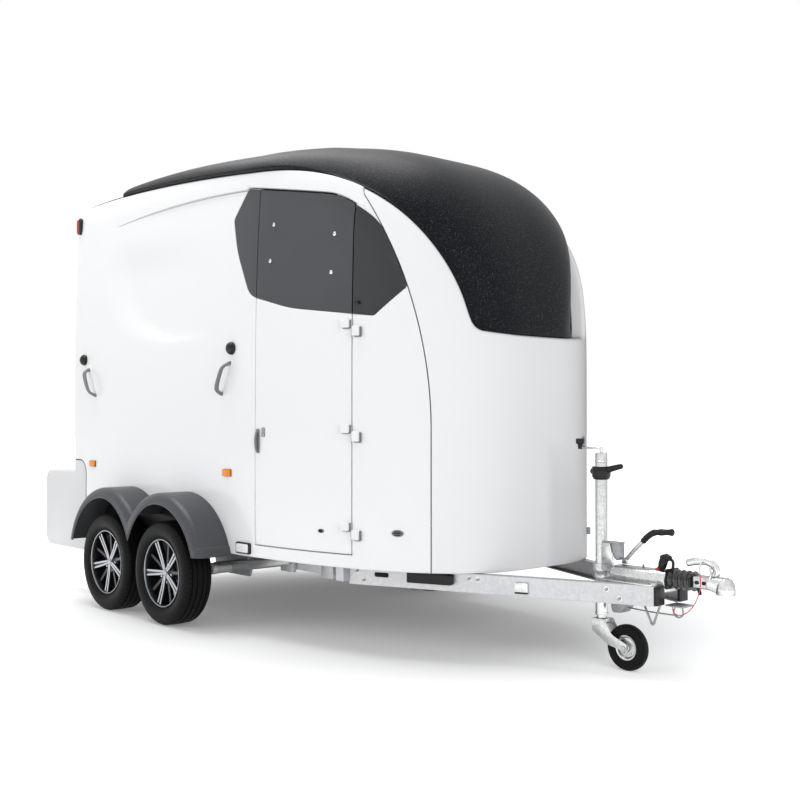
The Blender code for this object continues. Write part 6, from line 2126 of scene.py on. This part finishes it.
def floor_finish():
    """Pale matt floor; for rays that see it, a glow that grows by radius lifts it to plain white."""
    made, nodes, shader = look("studio_floor")
    where = object_place(nodes)
    base = mix_colour(nodes, noise_node(nodes, where, 1.5, 2.0), (0.80, 0.80, 0.80), (0.83, 0.83, 0.83))
    set_sockets(shader, Base_Color=base, Roughness=0.9, Specular_IOR_Level=0.0)
    length = nodes.new("ShaderNodeVectorMath")
    length.operation = "LENGTH"
    feed(length.inputs[0], where)
    span = nodes.new("ShaderNodeMapRange")
    span.interpolation_type = "SMOOTHSTEP"
    set_sockets(span, Value=length.outputs["Value"], From_Min=1.1, From_Max=3.9, To_Min=0.15, To_Max=1.0)
    glow = add_node(
        nodes, "Emission", Strength=math_node(nodes, "MULTIPLY", span.outputs[0], camera_white(nodes))
    )
    both_shaders = nodes.new("ShaderNodeAddShader")
    feed(both_shaders.inputs[0], shader.outputs[0])
    feed(both_shaders.inputs[1], glow.outputs[0])
    feed(nodes["Material Output"].inputs["Surface"], both_shaders.outputs[0])
    return made


def area_lamp(name, place, aim, size, tall, power, mirrored_in_gloss=True):
    """A soft lamp turned towards aim."""
    lamp = bpy.data.lights.new(name, "AREA")
    lamp.shape = "RECTANGLE"
    lamp.size = size
    lamp.size_y = tall
    lamp.energy = power
    obj = bpy.data.objects.new(name, lamp)
    bpy.context.scene.collection.objects.link(obj)
    obj.location = place
    x, y, z = np.array(aim, float) - np.array(place, float)
    obj.rotation_euler = (math.atan2(np.hypot(x, y), -z), 0.0, math.atan2(y, x) - math.pi / 2)
    obj.visible_glossy = mirrored_in_gloss


def build_stage():
    """Pale floor, white surroundings for seeing rays, a large overhead lamp and two soft side lamps."""
    scene = bpy.context.scene
    spokes, rings = 96, 25
    angles = np.arange(spokes) * 2 * math.pi / spokes
    radii = np.concatenate([[0.0], np.geomspace(0.5, 60.0, rings - 1)])
    flat = [np.outer(np.cos(angles), radii), np.outer(np.sin(angles), radii), np.zeros((spokes, rings))]
    mesh = clean_mesh(
        "studio_floor", np.stack(flat, -1).reshape(-1, 3), grid_faces(spokes, rings, True)[:, ::-1]
    )
    mesh.materials.append(floor_finish())
    floor = bpy.data.objects.new("studio_floor", mesh)
    scene.collection.objects.link(floor)

    world = bpy.data.worlds.new("studio_world")
    world.use_nodes = True
    scene.world = world
    nodes = world.node_tree.nodes
    dim = set_sockets(nodes["Background"], Color=(0.96, 0.98, 1.0), Strength=WORLD_LIGHT)
    white = add_node(nodes, "Background", Color=(1.0, 1.0, 1.0), Strength=1.0)
    mix = nodes.new("ShaderNodeMixShader")
    for socket, source in zip(mix.inputs, (camera_white(nodes), dim.outputs[0], white.outputs[0])):
        feed(socket, source)
    feed(nodes["World Output"].inputs["Surface"], mix.outputs[0])

    area_lamp("lamp_over", (-1.4, -0.6, 6.4), (0.0, 0.0, 0.6), 4.5, 4.5, LAMP_OVER)
    area_lamp("lamp_side", (-2.5, -8.0, 3.2), (-0.4, 0.0, 1.2), 6.0, 3.5, LAMP_SIDE, False)
    area_lamp("lamp_front", (7.6, -2.6, 3.0), (1.0, 0.0, 1.1), 4.0, 3.0, LAMP_FRONT, False)

    camera = bpy.data.objects.new("camera", bpy.data.cameras.new("camera"))
    scene.collection.objects.link(camera)
    camera.data.sensor_width = CAMERA_SENSOR
    camera.data.lens = CAMERA_LENS
    camera.location = CAMERA_PLACE
    camera.rotation_euler = CAMERA_TURN
    scene.camera = camera
    scene.view_settings.view_transform = "Standard"


# Registration and run

PROPERTIES = {
    "trailer_shell": TrailerShellSizes,
    "trailer_wheels": TrailerWheelSizes,
    "trailer_fittings": TrailerFittingSizes,
    "trailer_colours": TrailerColours,
}
STEPS = {
    make.__name__.removeprefix("build_"): make
    for make in (
        build_breakaway_cable,
        build_side_walls,
        build_entry_door,
        build_windows,
        build_nose,
        build_roof,
        build_rear_end,
        build_light_pods,
        build_mudguards,
        build_tyres,
        build_rims,
        build_running_gear,
        build_chassis,
        build_coupling,
        build_jockey_wheel,
        build_grab_handles,
        build_marker_lamps,
        build_vents_and_studs,
        build_door_furniture,
        build_nose_fittings,
        build_interior,
        build_stage,
    )
}


def operator(name, make):
    """An operator class that runs one build function and fails if it does."""

    def execute(self, context):
        make()
        return {"FINISHED"}

    label = name.replace("_", " ").capitalize()
    words = {
        "bl_idname": f"trailer.{name}", "bl_label": label, "__doc__": make.__doc__, "execute": execute
    }
    return type(f"TRAILER_OT_{name}", (bpy.types.Operator,), words)


OPERATORS = [operator(*step) for step in STEPS.items()]


class TRAILER_PT_dressing(bpy.types.Panel):
    """Sizes and colours of the trailer, and one button for each group of pieces"""

    bl_label = "Horse trailer"
    bl_idname = "TRAILER_PT_dressing"
    bl_space_type = "VIEW_3D"
    bl_region_type = "UI"
    bl_category = "Horse trailer"

    def draw(self, context):
        for group in PROPERTIES:
            settings = getattr(context.scene, group)
            box_layout = self.layout.box()
            for label in settings.__annotations__:
                box_layout.prop(settings, label)
        for name in STEPS:
            self.layout.operator(f"trailer.{name}")


def register():
    for group, kind in PROPERTIES.items():
        bpy.utils.register_class(kind)
        setattr(bpy.types.Scene, group, PointerProperty(type=kind))
    for kind in (*OPERATORS, TRAILER_PT_dressing):
        bpy.utils.register_class(kind)


def unregister():
    for kind in (TRAILER_PT_dressing, *reversed(OPERATORS)):
        bpy.utils.unregister_class(kind)
    for group, kind in PROPERTIES.items():
        delattr(bpy.types.Scene, group)
        bpy.utils.unregister_class(kind)


def main():
    register()
    for name in STEPS:
        getattr(bpy.ops.trailer, name)()


if __name__ == "__main__":
    main()
